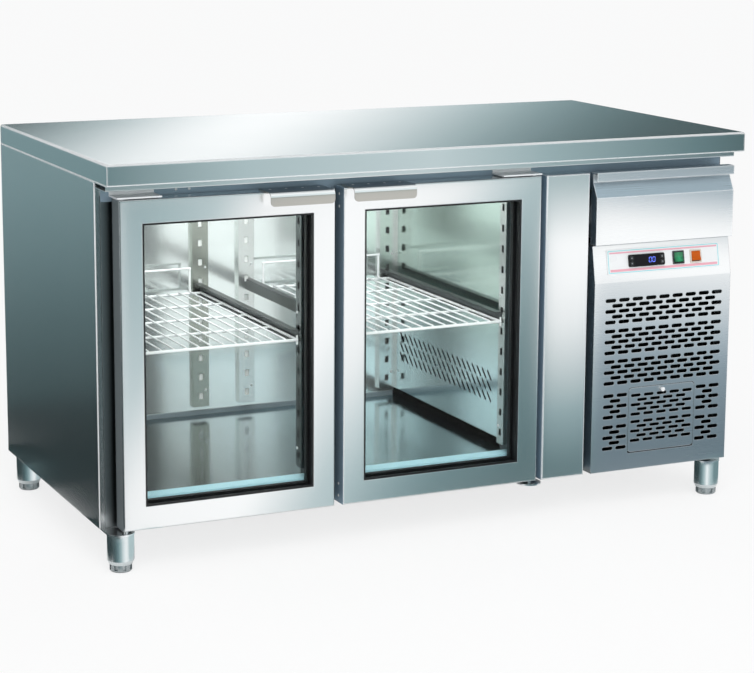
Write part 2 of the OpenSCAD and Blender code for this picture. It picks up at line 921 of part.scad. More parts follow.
// Motor on a bracket from the partition, with its shaft towards the cover
module evaporator_fan_motor() {
    motor_d = 44;
    hub_gap = 3;
    x0 = evap_fan_x + evap_hub_l + hub_gap;
    bracket_h = 120;
    bracket_w = 16;
    bracket_t = 3;
    color(dark_steel)
        union() {
            translate([x0, evap_fan_y, evap_fan_z])
                rotate([0, 90, 0])
                    cylinder(d = motor_d, h = x_part - x0 - bracket_t, $fn = round_fn);
            box(x_part - bracket_t, x_part, evap_fan_y - bracket_w / 2, evap_fan_y + bracket_w / 2,
                evap_fan_z - bracket_h / 2, evap_fan_z + bracket_h / 2);
            translate([evap_fan_x, evap_fan_y, evap_fan_z])
                rotate([0, 90, 0])
                    cylinder(d = evap_shaft_d, h = evap_hub_l + hub_gap + cut, $fn = slot_fn);
        }
}

module evaporator_fan() {
    color(black)
        translate([evap_fan_x, evap_fan_y, evap_fan_z])
            rotate([0, 90, 0])
                fan(evap_fan_r, evap_hub_r, evap_hub_l, evap_pitch, evap_shaft_d + 2 * pin_clear);
}

module drip_tray() {
    s = sheet_t;
    depth = 14;
    lap = 16;
    x0 = x_part - evap_coil_w - lap;
    length = (y_back_in - y_jamb_b) * 0.8;
    y0 = evap_fan_y - length / 2;
    z0 = evap_coil_z - depth;
    color(steel)
        difference() {
            box(x0, x_part - seam, y0, y0 + length, z0 - s, evap_coil_z - seam);
            box(x0 + s, x_part - seam - s, y0 + s, y0 + length - s, z0, evap_coil_z + cut);
        }
}

// Folded cover in front of the evaporator space
module fixed_post() {
    s = sheet_t;
    color(steel)
        difference() {
            front_slab(x_post, x_post + post_w, y_door, y_body, z_door, z_door_top, door_r);
            box(x_post + s, x_post + post_w - s, y_door + s, y_body + cut, z_door + s, z_door_top - s);
        }
}

// Hermetic compressor on a foot plate with rubber feet, terminal box and pipe stubs
module compressor() {
    x = condenser_x;
    r = compressor_d / 2;
    room = 105;
    y = y_b - r - room;
    z0 = z_base + sheet_t;
    foot = 14;
    foot_w = 24;
    plate = 4;
    z1 = z0 + foot + plate;
    dome = 24;
    dome_r = (r * r + dome * dome) / (2 * dome);
    wall_h = compressor_h - dome;
    pad = [r + 10, 0.8 * (r + 10)];
    foot_in = [14, 14];
    terminals = [38, 60, 60];
    pipe_l = 40;
    pipes = [[-0.5 * r, 0, 10], [-0.2 * r, -0.5 * r, 8]];
    color(black)
        union() {
            translate([x, y, z1 - 1])
                cylinder(r = r, h = wall_h + 1, $fn = round_fn);
            intersection() {
                translate([x, y, z1 + wall_h + dome - dome_r])
                    sphere(dome_r, $fn = round_fn);
                translate([x, y, z1 + wall_h - 1])
                    cylinder(r = r, h = dome + 2, $fn = round_fn);
            }
            box(x - pad[0], x + pad[0], y - pad[1], y + pad[1], z0 + foot, z1);
            for (i = [-1, 1], j = [-1, 1])
                translate([x + i * (pad[0] - foot_in[0]), y + j * (pad[1] - foot_in[1]), z0])
                    cylinder(d = foot_w, h = foot + 1, $fn = slot_fn);
            translate([x + r - terminals[0] / 3, y - terminals[1] / 2, z1 + wall_h / 3])
                cube(terminals);
            for (p = pipes)
                rod_z(x + p[0], y + p[1], z1 + wall_h / 2, z1 + compressor_h + pipe_l, p[2]);
        }
}

// Finned condenser with the fan shroud on its back
module condenser_coil() {
    x0 = condenser_x - condenser_w / 2;
    y1 = condenser_y + condenser_d;
    s = 2;
    hole = fan_r + fan_tip;
    fins = 24;
    tubes = 7;
    tube_d = 10;
    color("#b9bec2") {
        translate([x0, condenser_y, condenser_z])
            coil(condenser_w, condenser_d, condenser_h, fins, tubes, tube_d);
        difference() {
            box(x0, x0 + condenser_w, y1, y1 + shroud_d, condenser_z, condenser_z + condenser_h);
            box(x0 + s, x0 + condenser_w - s, y1 - cut, y1 + shroud_d - s, condenser_z + s,
                condenser_z + condenser_h - s);
            translate([condenser_x, y1, fan_z])
                rotate([-90, 0, 0])
                    cylinder(r = hole, h = shroud_d + cut, $fn = round_fn);
        }
    }
}

// Motor held behind the fan by a bar and two legs on the shroud
module condenser_fan_motor() {
    motor_d = 0.76 * fan_r;
    motor_l = 0.56 * fan_r;
    hub_gap = 4;
    bar = 14;
    bar_t = 4;
    bar_lap = 10;
    y0 = y_fan + fan_hub_l + hub_gap;
    y_bar = y0 + motor_l / 3;
    y_shroud = condenser_y + condenser_d + shroud_d;
    reach = fan_r + fan_tip + bar_lap;
    color(dark_steel) {
        translate([condenser_x, y0, fan_z])
            rotate([-90, 0, 0])
                cylinder(d = motor_d, h = motor_l, $fn = round_fn);
        translate([condenser_x, y_fan, fan_z])
            rotate([-90, 0, 0])
                cylinder(d = fan_shaft_d, h = fan_hub_l + hub_gap + cut, $fn = slot_fn);
        box(condenser_x - bar / 2, condenser_x + bar / 2, y_bar, y_bar + bar_t, fan_z - reach, fan_z + reach);
        for (z = [fan_z - reach, fan_z + reach - bar_t])
            box(condenser_x - bar / 2, condenser_x + bar / 2, y_shroud, y_bar + bar_t, z, z + bar_t);
    }
}

module condenser_fan() {
    color(black)
        translate([condenser_x, y_fan, fan_z])
            rotate([-90, 0, 0])
                fan(fan_r, fan_hub_r, fan_hub_l, fan_pitch, fan_shaft_d + 2 * pin_clear);
}

// Bushing for the supply lead, through the back panel
module cord_gland() {
    bore = 9;
    body = 15.6;
    flange = 24;
    color(black)
        translate([x_gland, y_b - sheet_t, z_floor])
            rotate([90, 0, 0])
                difference() {
                    union() {
                        cylinder(d = flange, h = 5, $fn = round_fn);
                        translate([0, 0, -sheet_t])
                            cylinder(d = body, h = sheet_t + 1, $fn = round_fn);
                    }
                    translate([0, 0, -sheet_t - cut])
                        cylinder(d = bore, h = sheet_t + 5 + 2 * cut, $fn = round_fn);
                }
}

// Staggered rows of slots: long rows have cols slots, the rows between one less
module slot_field(cols, rows, pitch, row, l, w) {
    for (j = [0 : rows - 1]) {
        n = cols - (j % 2);
        for (i = [0 : n - 1])
            translate([(i - (n - 1) / 2) * pitch, -j * row])
                slot(l, w);
    }
}

// The part of the slot field beside the flap: two columns each side
module side_field() {
    for (side = [-1, 1])
        translate([side * (grille_cols - 2) * grille_pitch / 2, 0])
            slot_field(2, grille_rows, grille_pitch, stretch * grille_row, grille_slot_l, grille_slot_w);
}

// Plane of the tilted control part: u to the right, v up the slope, w out of it
module on_tilt() {
    translate([x_grille, y_door, z_bend])
        rotate([90 - tilt_a, 0, 0])
            children();
}

// Folded panel with the tilted control part, the slotted grille and the flap opening
module fascia_panel() {
    s = sheet_t;
    x1 = x_r;
    outline = [
        [y_door, z_door], [y_door, z_bend], [y_door + tilt_set, z_fas_top],
        [y_body, z_fas_top], [y_body, z_door]
    ];
    hollow = [
        [y_door + s, z_door + s], [y_door + s, z_bend], [y_door + tilt_set + s, z_fas_top - s],
        [y_body + cut, z_fas_top - s], [y_body + cut, z_door + s]
    ];
    lug_x = [x_flap - flap_pin_out, x_flap + flap_w + flap_pin_out - lug_t];
    opening_x = [x_flap - flap_gap, x_flap + flap_w + flap_gap];
    opening_z = [z_flap - flap_foot_gap, z_flap_top + flap_gap];
    opening_mid = (z_flap + z_flap_top) / 2;
    color(steel)
        difference() {
            union() {
                difference() {
                    along_x(x_fas, x1)
                        polygon(outline);
                    along_x(x_fas + s, x1 - s)
                        polygon(hollow);
                    along_y(y_door - cut, y_door + s + cut) {
                        for (g = [0 : full_groups - 1])
                            translate([x_grille, z_row1 - g * stretch * group_pitch])
                                slot_field(grille_cols, grille_rows, grille_pitch, stretch * grille_row,
                                    grille_slot_l, grille_slot_w);
                        for (g = [0 : side_groups - 1])
                            translate([x_grille, z_side1 - g * stretch * side_pitch])
                                side_field();
                        round_rect(opening_x[0], opening_x[1], opening_z[0], opening_z[1], flap_r);
                        round_rect(opening_x[0], opening_x[1], opening_z[0], opening_mid, swing_r);
                    }
                }
                for (x = lug_x)
                    box(x, x + lug_t, y_door + s / 2, flap_axis[0] + lug_reach, flap_axis[1] - lug_reach,
                        flap_axis[1] + lug_reach);
            }
            translate([x_flap - flap_pin_out - cut, flap_axis[0], flap_axis[1]])
                rotate([0, 90, 0])
                    cylinder(d = flap_pin_d + 2 * pin_clear, h = flap_w + 2 * (flap_pin_out + cut),
                        $fn = slot_fn);
            on_tilt()
                translate([0, 0, -4 * s])
                    linear_extrude(6 * s)
                        control_cutouts();
        }
}

// Openings for the controller's body and the two switches
module control_cutouts() {
    slack = 0.4;
    translate([controller_u, plate_v])
        square(controller_body + [2 * slack, 2 * slack], center = true);
    for (u = [green_shift, orange_shift])
        translate([u, plate_v])
            square(switch_open + [2 * (switch_wall + slack), 2 * (switch_wall + slack)], center = true);
}

module control_plate() {
    color(white)
        on_tilt()
            linear_extrude(overlay_t)
                difference() {
                    translate([0, plate_v])
                        round_rect(-plate_w / 2, plate_w / 2, -plate_h / 2, plate_h / 2, plate_r);
                    control_cutouts();
                }
}

// Front with a display window and four key pockets, body behind the panel
module controller() {
    r = 3.5;
    depth = 40;
    window = [controller_w - 2 * (key_w + 6), controller_h - 5];
    window_d = 0.6;
    pocket = key_l + key_travel + part_gap;
    color(black)
        on_tilt()
            translate([controller_u, plate_v, overlay_t])
                difference() {
                    union() {
                        linear_extrude(controller_t)
                            round_rect(-controller_w / 2, controller_w / 2, -controller_h / 2,
                                controller_h / 2, r);
                        translate([-controller_body[0] / 2, -controller_body[1] / 2, -depth])
                            cube([controller_body[0], controller_body[1], depth + cut]);
                    }
                    translate([-window[0] / 2, -window[1] / 2, controller_t - window_d])
                        cube([window[0], window[1], cut]);
                    for (i = [-1, 1], j = [-1, 1])
                        translate([i * key_u, j * key_v, controller_t + key_proud - pocket])
                            linear_extrude(pocket + cut)
                                square([key_w + 2 * part_gap, key_h + 2 * part_gap], center = true);
                }
}

module controller_key(i, j) {
    w0 = overlay_t + controller_t + key_proud - key_l;
    color(dark_steel)
        on_tilt()
            translate([controller_u + i * key_u, plate_v + j * key_v, w0])
                linear_extrude(key_l)
                    round_rect(-key_w / 2, key_w / 2, -key_h / 2, key_h / 2, key_r);
}

module upper_left_key() {
    controller_key(-1, 1);
}

module lower_left_key() {
    controller_key(-1, -1);
}

module upper_right_key() {
    controller_key(1, 1);
}

module lower_right_key() {
    controller_key(1, -1);
}

// Flange and open-fronted housing of one switch, with bores for the rocker's pins
module switch_bezel() {
    a = switch_open;
    w = switch_wall;
    difference() {
        union() {
            linear_extrude(switch_flange)
                round_rect(-switch_s / 2, switch_s / 2, -switch_s / 2, switch_s / 2, switch_r);
            translate([-a[0] / 2 - w, -a[1] / 2 - w, -switch_depth])
                cube([a[0] + 2 * w, a[1] + 2 * w, switch_depth + cut]);
        }
        translate([-a[0] / 2, -a[1] / 2, -switch_depth + w])
            cube([a[0], a[1], switch_depth + switch_flange + cut]);
        translate([-switch_s, 0, rocker_pivot])
            rotate([0, 90, 0])
                cylinder(d = rocker_pin_d + 2 * pin_clear, h = 2 * switch_s, $fn = slot_fn);
    }
}

module switch_bezels() {
    color(black)
        on_tilt()
            for (u = [green_shift, orange_shift])
                translate([u, plate_v, overlay_t])
                    switch_bezel();
}

// Rocker pressed at its upper half, on two pins
module rocker(u) {
    half_w = switch_open[0] / 2 - part_gap;
    half_h = switch_open[1] / 2 - 1.2;
    rise = 6.2;
    waist = 4.8;
    shoulder = 1;
    keel = -3;
    profile = [
        [-half_h, shoulder], [-half_h, rise], [0, waist], [half_h, rise], [half_h, shoulder], [0, keel]
    ];
    pin_reach = switch_open[0] / 2 + switch_wall - part_gap;
    on_tilt()
        translate([u, plate_v, overlay_t + rocker_pivot])
            rotate([-rocker_a, 0, 0]) {
                translate([-half_w, 0, 0])
                    rotate([90, 0, 90])
                        linear_extrude(2 * half_w)
                            polygon(profile);
                translate([-pin_reach, 0, 0])
                    rotate([0, 90, 0])
                        cylinder(d = rocker_pin_d, h = 2 * pin_reach, $fn = slot_fn);
            }
}

module green_rocker() {
    color("#1f7a4a")
        rocker(green_shift);
}

module orange_rocker() {
    color("#b9541a")
        rocker(orange_shift);
}

// Slotted flap on a barrel with two pins along its bottom edge
module filter_flap() {
    x1 = x_flap + flap_w;
    z1 = z_flap_top;
    barrel_in = 6;
    color(steel) {
        along_y(y_door, y_door + flap_t)
            difference() {
                round_rect(x_flap, x1, z_flap, z1, flap_r);
                for (g = [0 : side_groups - 1])
                    translate([x_flap + flap_w / 2, z1 - stretch * (flap_first + g * flap_group)])
                        slot_field(flap_cols, grille_rows, flap_pitch, stretch * flap_row, flap_slot_l,
                            flap_slot_w);
            }
        translate([x_flap + barrel_in, flap_axis[0], flap_axis[1]])
            rotate([0, 90, 0])
                cylinder(d = flap_barrel_d, h = flap_w - 2 * barrel_in, $fn = slot_fn);
        translate([x_flap - flap_pin_out, flap_axis[0], flap_axis[1]])
            rotate([0, 90, 0])
                cylinder(d = flap_pin_d, h = flap_w + 2 * flap_pin_out, $fn = slot_fn);
    }
}

// Turned pull knob on the flap
module flap_knob() {
    neck_d = knob_d * 0.6;
    neck_l = 2;
    flare = 1.5;
    head_l = 2;
    color(white)
        translate([x_flap + flap_w / 2, y_door, z_flap_top - stretch * flap_first / 2])
            rotate([90, 0, 0]) {
                cylinder(d = neck_d, h = neck_l + cut, $fn = round_fn);
                translate([0, 0, neck_l])
                    cylinder(d1 = neck_d, d2 = knob_d, h = flare, $fn = round_fn);
                translate([0, 0, neck_l + flare])
                    cylinder(d = knob_d, h = head_l, $fn = round_fn);
            }
}

// Panel with a grip recess under its lip and a hollow back
module drawer_front() {
    y0 = y_door;
    zt = z_drawer_top;
    z_lip = zt - lip_h;
    lip_drop = 3;
    z_recess = z_lip - lip_drop;
    z_slope = z_recess - slope_h;
    roof = 4;
    wall = 2;
    outline = [
        [y0, zt], [y0, z_lip], [y0 + lip_edge, z_lip], [y0 + lip_edge, zt - roof], [y0 + recess_d, zt - roof],
        [y0 + recess_d, z_recess], [y0, z_slope], [y0, z_drawer], [y_drawer_back, z_drawer], [y_drawer_back, zt]
    ];
    color(steel)
        difference() {
            along_x(x_fas, x_r)
                polygon(outline);
            box(x_fas + wall, x_r - wall, y0 + wall, y_drawer_back + cut, z_drawer + wall, z_slope - wall);
        }
}

// Open box with a slide rail on each side
module drawer_box() {
    s = sheet_t;
    y0 = y_drawer_back;
    y1 = y0 + drawer_box_d;
    rail_out = runner_w - sheet_t - slide_clear;
    rail_in = 2 * (sheet_t + slide_clear);
    y_rails = y_body + 4;
    z0 = z_runner + rail_in / 2;
    z1 = z_runner + runner_h - rail_in / 2;
    color(steel) {
        difference() {
            box(x_box_l, x_box_r, y0, y1, z_box, z_box + drawer_box_h);
            box(x_box_l + s, x_box_r - s, y0 + s, y1 - s, z_box + s, z_box + drawer_box_h + cut);
        }
        box(x_box_l - rail_out, x_box_l + s / 2, y_rails, y1, z0, z1);
        box(x_box_r - s / 2, x_box_r + rail_out, y_rails, y1, z0, z1);
    }
}

// Fixed channels on the partition and on the right side panel
module drawer_runners() {
    y0 = y_jamb_b;
    y1 = y_drawer_back + drawer_box_d;
    s = sheet_t;
    color(dark_steel) {
        along_y(y0, y1)
            difference() {
                rect(x_bay, x_bay + runner_w, z_runner, z_runner + runner_h);
                rect(x_bay + s, x_bay + runner_w + cut, z_runner + s, z_runner + runner_h - s);
            }
        along_y(y0, y1)
            difference() {
                rect(x_r - s - runner_w, x_r - s, z_runner, z_runner + runner_h);
                rect(x_r - s - runner_w - cut, x_r - 2 * s, z_runner + s, z_runner + runner_h - s);
            }
    }
}

// Tube with a tapered end, bored for the foot's stud
module legs() {
    roof = 5;
    color(steel)
        for (x = x_legs, y = y_legs)
            translate([x, y, 0])
                difference() {
                    union() {
                        translate([0, 0, foot_h + leg_taper])
                            cylinder(d = leg_d, h = z_plate - foot_h - leg_taper, $fn = round_fn);
                        translate([0, 0, foot_h])
                            cylinder(d1 = leg_foot_d, d2 = leg_d, h = leg_taper, $fn = round_fn);
                    }
                    translate([0, 0, foot_h - cut])
                        cylinder(d = stud_d + 2 * pin_clear, h = z_plate - roof - foot_h + cut, $fn = round_fn);
                }
}

// Castellated foot with its stud
module screw_foot(x, y) {
    notches = 8;
    notch_w = 7;
    notch_d = 3.5;
    sole = 4;
    toe = 2.5;
    top = foot_h - part_gap;
    stud_top = z_plate - 6;
    color(dark_steel)
        translate([x, y, 0])
            union() {
                difference() {
                    union() {
                        cylinder(d1 = foot_d - 2 * toe, d2 = foot_d, h = toe, $fn = round_fn);
                        translate([0, 0, toe])
                            cylinder(d = foot_d, h = top - toe, $fn = round_fn);
                    }
                    for (i = [0 : notches - 1])
                        rotate([0, 0, i * 360 / notches])
                            translate([foot_d / 2 - notch_d, -notch_w / 2, sole])
                                cube([notch_d + cut, notch_w, top]);
                }
                translate([0, 0, sole])
                    cylinder(d = stud_d, h = stud_top - sole, $fn = round_fn);
            }
}

module front_left_foot() {
    screw_foot(x_legs[0], y_legs[0]);
}

module front_right_foot() {
    screw_foot(x_legs[1], y_legs[0]);
}

module rear_left_foot() {
    screw_foot(x_legs[0], y_legs[1]);
}

module rear_right_foot() {
    screw_foot(x_legs[1], y_legs[1]);
}

// Angle bracket on the header with a pin down into the door; side is 1 for a left-hand door
module top_hinge(x_pin, side) {
    gap = 2;
    z0 = z_door_top + gap;
    x_out = x_pin - side * (pin_inset + 2);
    x_in_end = x_out + side * hinge_l;
    x0 = min(x_out, x_in_end);
    x1 = max(x_out, x_in_end);
    nose = 11;
    color(steel)
        union() {
            box(x0, x1, y_pin - nose, y_body, z0, z0 + plate_t);
            box(x0, x1, y_body - plate_t, y_body, z0, z_rail - cut);
            translate([x_pin, y_pin, z_door_top - pin_l])
                cylinder(d = pin_d, h = pin_l + gap + 1, $fn = round_fn);
        }
}

module top_hinges() {
    top_hinge(x_pin_left, 1);
    top_hinge(x_pin_right, -1);
}

// Plate with a round nose in front of the carcass, reaching back under the base
module nose_plate(x, y, r) {
    along_z(z_plate, z_base) {
        translate([x, y])
            circle(r, $fn = round_fn);
        rect(x - r, x + r, y, y_body + plate_reach);
    }
}

module bottom_pin(x) {
    translate([x, y_pin, z_plate + 1])
        cylinder(d = pin_d, h = z_door + pin_l - z_plate - 1, $fn = round_fn);
}

// Leg plates, the left front one with the left door's lower pin, and the right door's lower hinge plate
module base_plates() {
    color(steel) {
        union() {
            nose_plate(x_legs[0], y_legs[0], leg_d / 2 + 1);
            bottom_pin(x_pin_left);
        }
        nose_plate(x_legs[1], y_legs[0], leg_d / 2 + 1);
        union() {
            nose_plate(x_pin_right, y_pin, hinge_nose);
            bottom_pin(x_pin_right);
        }
        for (x = x_legs)
            along_z(z_plate, z_base)
                translate([x, y_legs[1]])
                    circle(leg_d / 2 + 1, $fn = round_fn);
    }
}

// Frame with a glazing groove and bores for the hinge pins
module door_frame(x0, x_pin) {
    x1 = x0 + door_w;
    w = frame_w;
    g = frame_w - pane_bite;
    y_groove = y_door + lip_t;
    groove = 2 * bead_t + 2 * pane_t + spacer_t;
    bore = pin_l + part_gap;
    color(steel)
        difference() {
            front_slab(x0, x1, y_door, y_door_back, z_door, z_door_top, door_r);
            box(x0 + w, x1 - w, y_door - cut, y_door_back + cut, z_door + w, z_door_top - w);
            box(x0 + g, x1 - g, y_groove, y_groove + groove, z_door + g, z_door_top - g);
            for (z = [z_door - cut, z_door_top - bore])
                translate([x_pin, y_pin, z])
                    cylinder(d = pin_d + 2 * pin_clear, h = bore + cut, $fn = round_fn);
        }
}

// Edges of the glazing unit, in from the frame's outside
pane_edge = frame_w - pane_bite + 1.5;
y_pane = y_door + lip_t + bead_t;

module door_panes(x0) {
    e = pane_edge;
    color(clear, 0.4)
        for (y = [y_pane, y_pane + pane_t + spacer_t])
            box(x0 + e, x0 + door_w - e, y, y + pane_t, z_door + e, z_door_top - e);
}

module door_spacer(x0) {
    e = pane_edge;
    width = 9;
    color(black)
        ring(x0 + e, x0 + door_w - e, z_door + e, z_door_top - e, width, y_pane + pane_t,
            y_pane + pane_t + spacer_t);
}

// Front and rear bead, each with a flange beside the glass and a rim along the frame's inner edge
module door_bead(x0) {
    e = pane_edge;
    x1 = x0 + door_w;
    w = frame_w;
    flange = w - e + bead_rim;
    y_in = y_pane + 2 * pane_t + spacer_t;
    shy = 0.5;
    color(black) {
        ring(x0 + e, x1 - e, z_door + e, z_door_top - e, flange, y_pane - bead_t, y_pane);
        ring(x0 + w, x1 - w, z_door + w, z_door_top - w, bead_rim, y_door + shy, y_pane);
        ring(x0 + e, x1 - e, z_door + e, z_door_top - e, flange, y_in, y_in + bead_t);
        ring(x0 + w, x1 - w, z_door + w, z_door_top - w, bead_rim, y_in, y_door_back - shy);
    }
}

// Magnetic seal: base in the door, a narrow bellows and the magnet lip
module door_seal(x0) {
    a = seal_inset;
    x1 = x0 + door_w;
    waist = 3;
    base_d = 4;
    lip_d = 4.5;
    y0 = y_door_back;
    y1 = y_body - part_gap;
    color(black) {
        ring(x0 + a, x1 - a, z_door + a, z_door_top - a, seal_w, y0, y0 + base_d);
        ring(x0 + a + waist, x1 - a - waist, z_door + a + waist, z_door_top - a - waist, seal_w - 2 * waist,
            y0 + base_d / 2, y1 - lip_d / 2);
        ring(x0 + a, x1 - a, z_door + a, z_door_top - a, seal_w, y1 - lip_d, y1);
    }
}

// Bent tab on the door's top edge: flange, round nose and drop with round lower corners
module door_handle(x0) {
    t = handle_t;
    zt = z_door_top + t;
    y_nose = y_door - handle_reach;
    y_bend = y_nose + handle_r;
    z_bend_axis = zt - handle_r;
    z0 = zt - handle_drop;
    c = handle_corner;
    x1 = x0 + handle_w;
    color(steel)
        intersection() {
            along_x(x0, x1) {
                rect(y_bend, y_door + handle_flange, z_door_top, zt);
                rect(y_nose, y_nose + t, z0, z_bend_axis);
                intersection() {
                    difference() {
                        translate([y_bend, z_bend_axis])
                            circle(handle_r, $fn = round_fn);
                        translate([y_bend, z_bend_axis])
                            circle(handle_r - t, $fn = round_fn);
                    }
                    rect(y_nose - cut, y_bend, z_bend_axis, zt + cut);
                }
            }
            along_y(y_nose - cut, y_door + handle_flange + cut) {
                rect(x0, x1, z0 + c, zt + cut);
                rect(x0 + c, x1 - c, z0, zt + cut);
                for (x = [x0 + c, x1 - c])
                    translate([x, z0 + c])
                        circle(c, $fn = round_fn);
            }
        }
}

module left_door_frame() {
    door_frame(x_d1, x_pin_left);
}

module left_door_panes() {
    door_panes(x_d1);
}

module left_door_spacer() {
    door_spacer(x_d1);
}

module left_door_bead() {
    door_bead(x_d1);
}

module left_door_seal() {
    door_seal(x_d1);
}

module left_door_handle() {
    door_handle(x_d1 + door_w - handle_inset - handle_w);
}

module right_door_frame() {
    door_frame(x_d2, x_pin_right);
}

module right_door_panes() {
    door_panes(x_d2);
}

module right_door_spacer() {
    door_spacer(x_d2);
}

module right_door_bead() {
    door_bead(x_d2);
}

module right_door_seal() {
    door_seal(x_d2);
}

module right_door_handle() {
    door_handle(x_d2 + handle_inset);
}

worktop();
front_rail();
left_side_panel();
right_side_panel();
back_panel();
base_panel();
partition_panel();
insulation();
inner_liner();
front_frame();
breaker_strips();
pilasters();
shelf_runners();
left_shelf();
right_shelf();
evaporator_cover();
evaporator_coil();
evaporator_fan_motor();
evaporator_fan();
drip_tray();
fixed_post();
compressor();
condenser_coil();
condenser_fan_motor();
condenser_fan();
cord_gland();
fascia_panel();
control_plate();
controller();
upper_left_key();
lower_left_key();
upper_right_key();
lower_right_key();
switch_bezels();
green_rocker();
orange_rocker();
filter_flap();
flap_knob();
drawer_front();
drawer_box();
drawer_runners();
legs();
front_left_foot();
front_right_foot();
rear_left_foot();
rear_right_foot();
top_hinges();
base_plates();
left_door_frame();
left_door_panes();
left_door_spacer();
left_door_bead();
left_door_seal();
left_door_handle();
right_door_frame();
right_door_panes();
right_door_spacer();
right_door_bead();
right_door_seal();
right_door_handle();
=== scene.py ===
import math

import bmesh
import bpy
from mathutils import Matrix, Vector

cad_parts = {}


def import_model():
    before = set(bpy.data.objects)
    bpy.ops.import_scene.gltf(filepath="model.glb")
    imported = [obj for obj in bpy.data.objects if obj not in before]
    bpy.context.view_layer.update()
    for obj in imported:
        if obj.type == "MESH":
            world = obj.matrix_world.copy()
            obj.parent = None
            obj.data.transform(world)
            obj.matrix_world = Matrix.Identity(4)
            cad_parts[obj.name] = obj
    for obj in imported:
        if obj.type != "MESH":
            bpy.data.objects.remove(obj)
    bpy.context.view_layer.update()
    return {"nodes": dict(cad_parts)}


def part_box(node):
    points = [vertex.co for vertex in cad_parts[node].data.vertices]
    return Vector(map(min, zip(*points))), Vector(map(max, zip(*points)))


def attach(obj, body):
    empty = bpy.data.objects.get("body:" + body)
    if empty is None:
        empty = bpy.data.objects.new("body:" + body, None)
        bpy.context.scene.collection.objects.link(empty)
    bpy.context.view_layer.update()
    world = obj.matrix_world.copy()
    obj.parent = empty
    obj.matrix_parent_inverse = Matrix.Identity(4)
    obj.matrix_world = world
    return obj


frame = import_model()
NODES = frame["nodes"]
scene = bpy.context.scene

MM = 0.001
UP = (0.0, 0.0, 1.0)
DOWN = (0.0, 0.0, -1.0)
LEFT = (-1.0, 0.0, 0.0)
RIGHT = (1.0, 0.0, 0.0)
FRONT = (0.0, -1.0, 0.0)
BACK = (0.0, 1.0, 0.0)


def new_object(name, data):
    obj = bpy.data.objects.new(name, data)
    scene.collection.objects.link(obj)
    return obj


def new_mesh(name, bm):
    mesh = bpy.data.meshes.new(name)
    bm.to_mesh(mesh)
    bm.free()
    return mesh


def hide_from(obj, *rays):
    for ray in rays:
        setattr(obj, "visible_" + ray, False)


# Camera: fitted to the photograph's corners

IMAGE_W = 754.0
FOCAL_PX = 2178.29
SHIFT_PX = -60.0
SENSOR_W = 36.0
CLIP_END = 100.0
YAW, PITCH, ROLL = 0.4388, 0.1814, 0.0062
EYE = Vector((-1.87712, -4.03608, 1.27489))


def add_camera():
    cam = bpy.data.cameras.new("camera")
    cam.sensor_fit = "HORIZONTAL"
    cam.sensor_width = SENSOR_W
    cam.lens = SENSOR_W * FOCAL_PX / IMAGE_W
    cam.shift_y = SHIFT_PX / IMAGE_W
    cam.clip_end = CLIP_END
    obj = new_object("camera", cam)
    ahead = math.cos(PITCH)
    forward = Vector((math.sin(YAW) * ahead, math.cos(YAW) * ahead, -math.sin(PITCH)))
    right = Vector((math.cos(YAW), -math.sin(YAW), 0.0))
    up = right.cross(forward)
    c, s = math.cos(ROLL), math.sin(ROLL)
    right, up = c * right + s * up, -s * right + c * up
    turn = Matrix((right, up, -forward)).transposed()
    obj.matrix_world = Matrix.Translation(EYE) @ turn.to_4x4()
    scene.camera = obj


# Node helpers

BEVEL_SAMPLES = 4
BUMP_DISTANCE = 0.0002


class Tree:
    """A node tree with short ways to add and join nodes."""

    def __init__(self, tree):
        self.tree = tree

    def add(self, kind, **values):
        node = self.tree.nodes.new(kind)
        for key, value in values.items():
            setattr(node, key, value)
        return node

    def link(self, a, b):
        self.tree.links.new(a, b)

    def math(self, op, a, b=None):
        """Join one or two values, each a number or another node's output."""
        node = self.add("ShaderNodeMath", operation=op)
        for socket, value in zip(node.inputs, (a, b)):
            if isinstance(value, (int, float)):
                socket.default_value = value
            elif value is not None:
                self.link(value, socket)
        return node.outputs[0]

    def both(self, a, b):
        return self.math("MULTIPLY", a, b)

    def either(self, a, b):
        return self.math("MAXIMUM", a, b)

    def blend(self, fac, a, b, out):
        """Send shader a to the output node where fac is 0, and shader b where it is 1."""
        mixer = self.add("ShaderNodeMixShader")
        self.link(fac, mixer.inputs["Fac"])
        self.link(a, mixer.inputs[1])
        self.link(b, mixer.inputs[2])
        self.link(mixer.outputs["Shader"], out.inputs["Surface"])


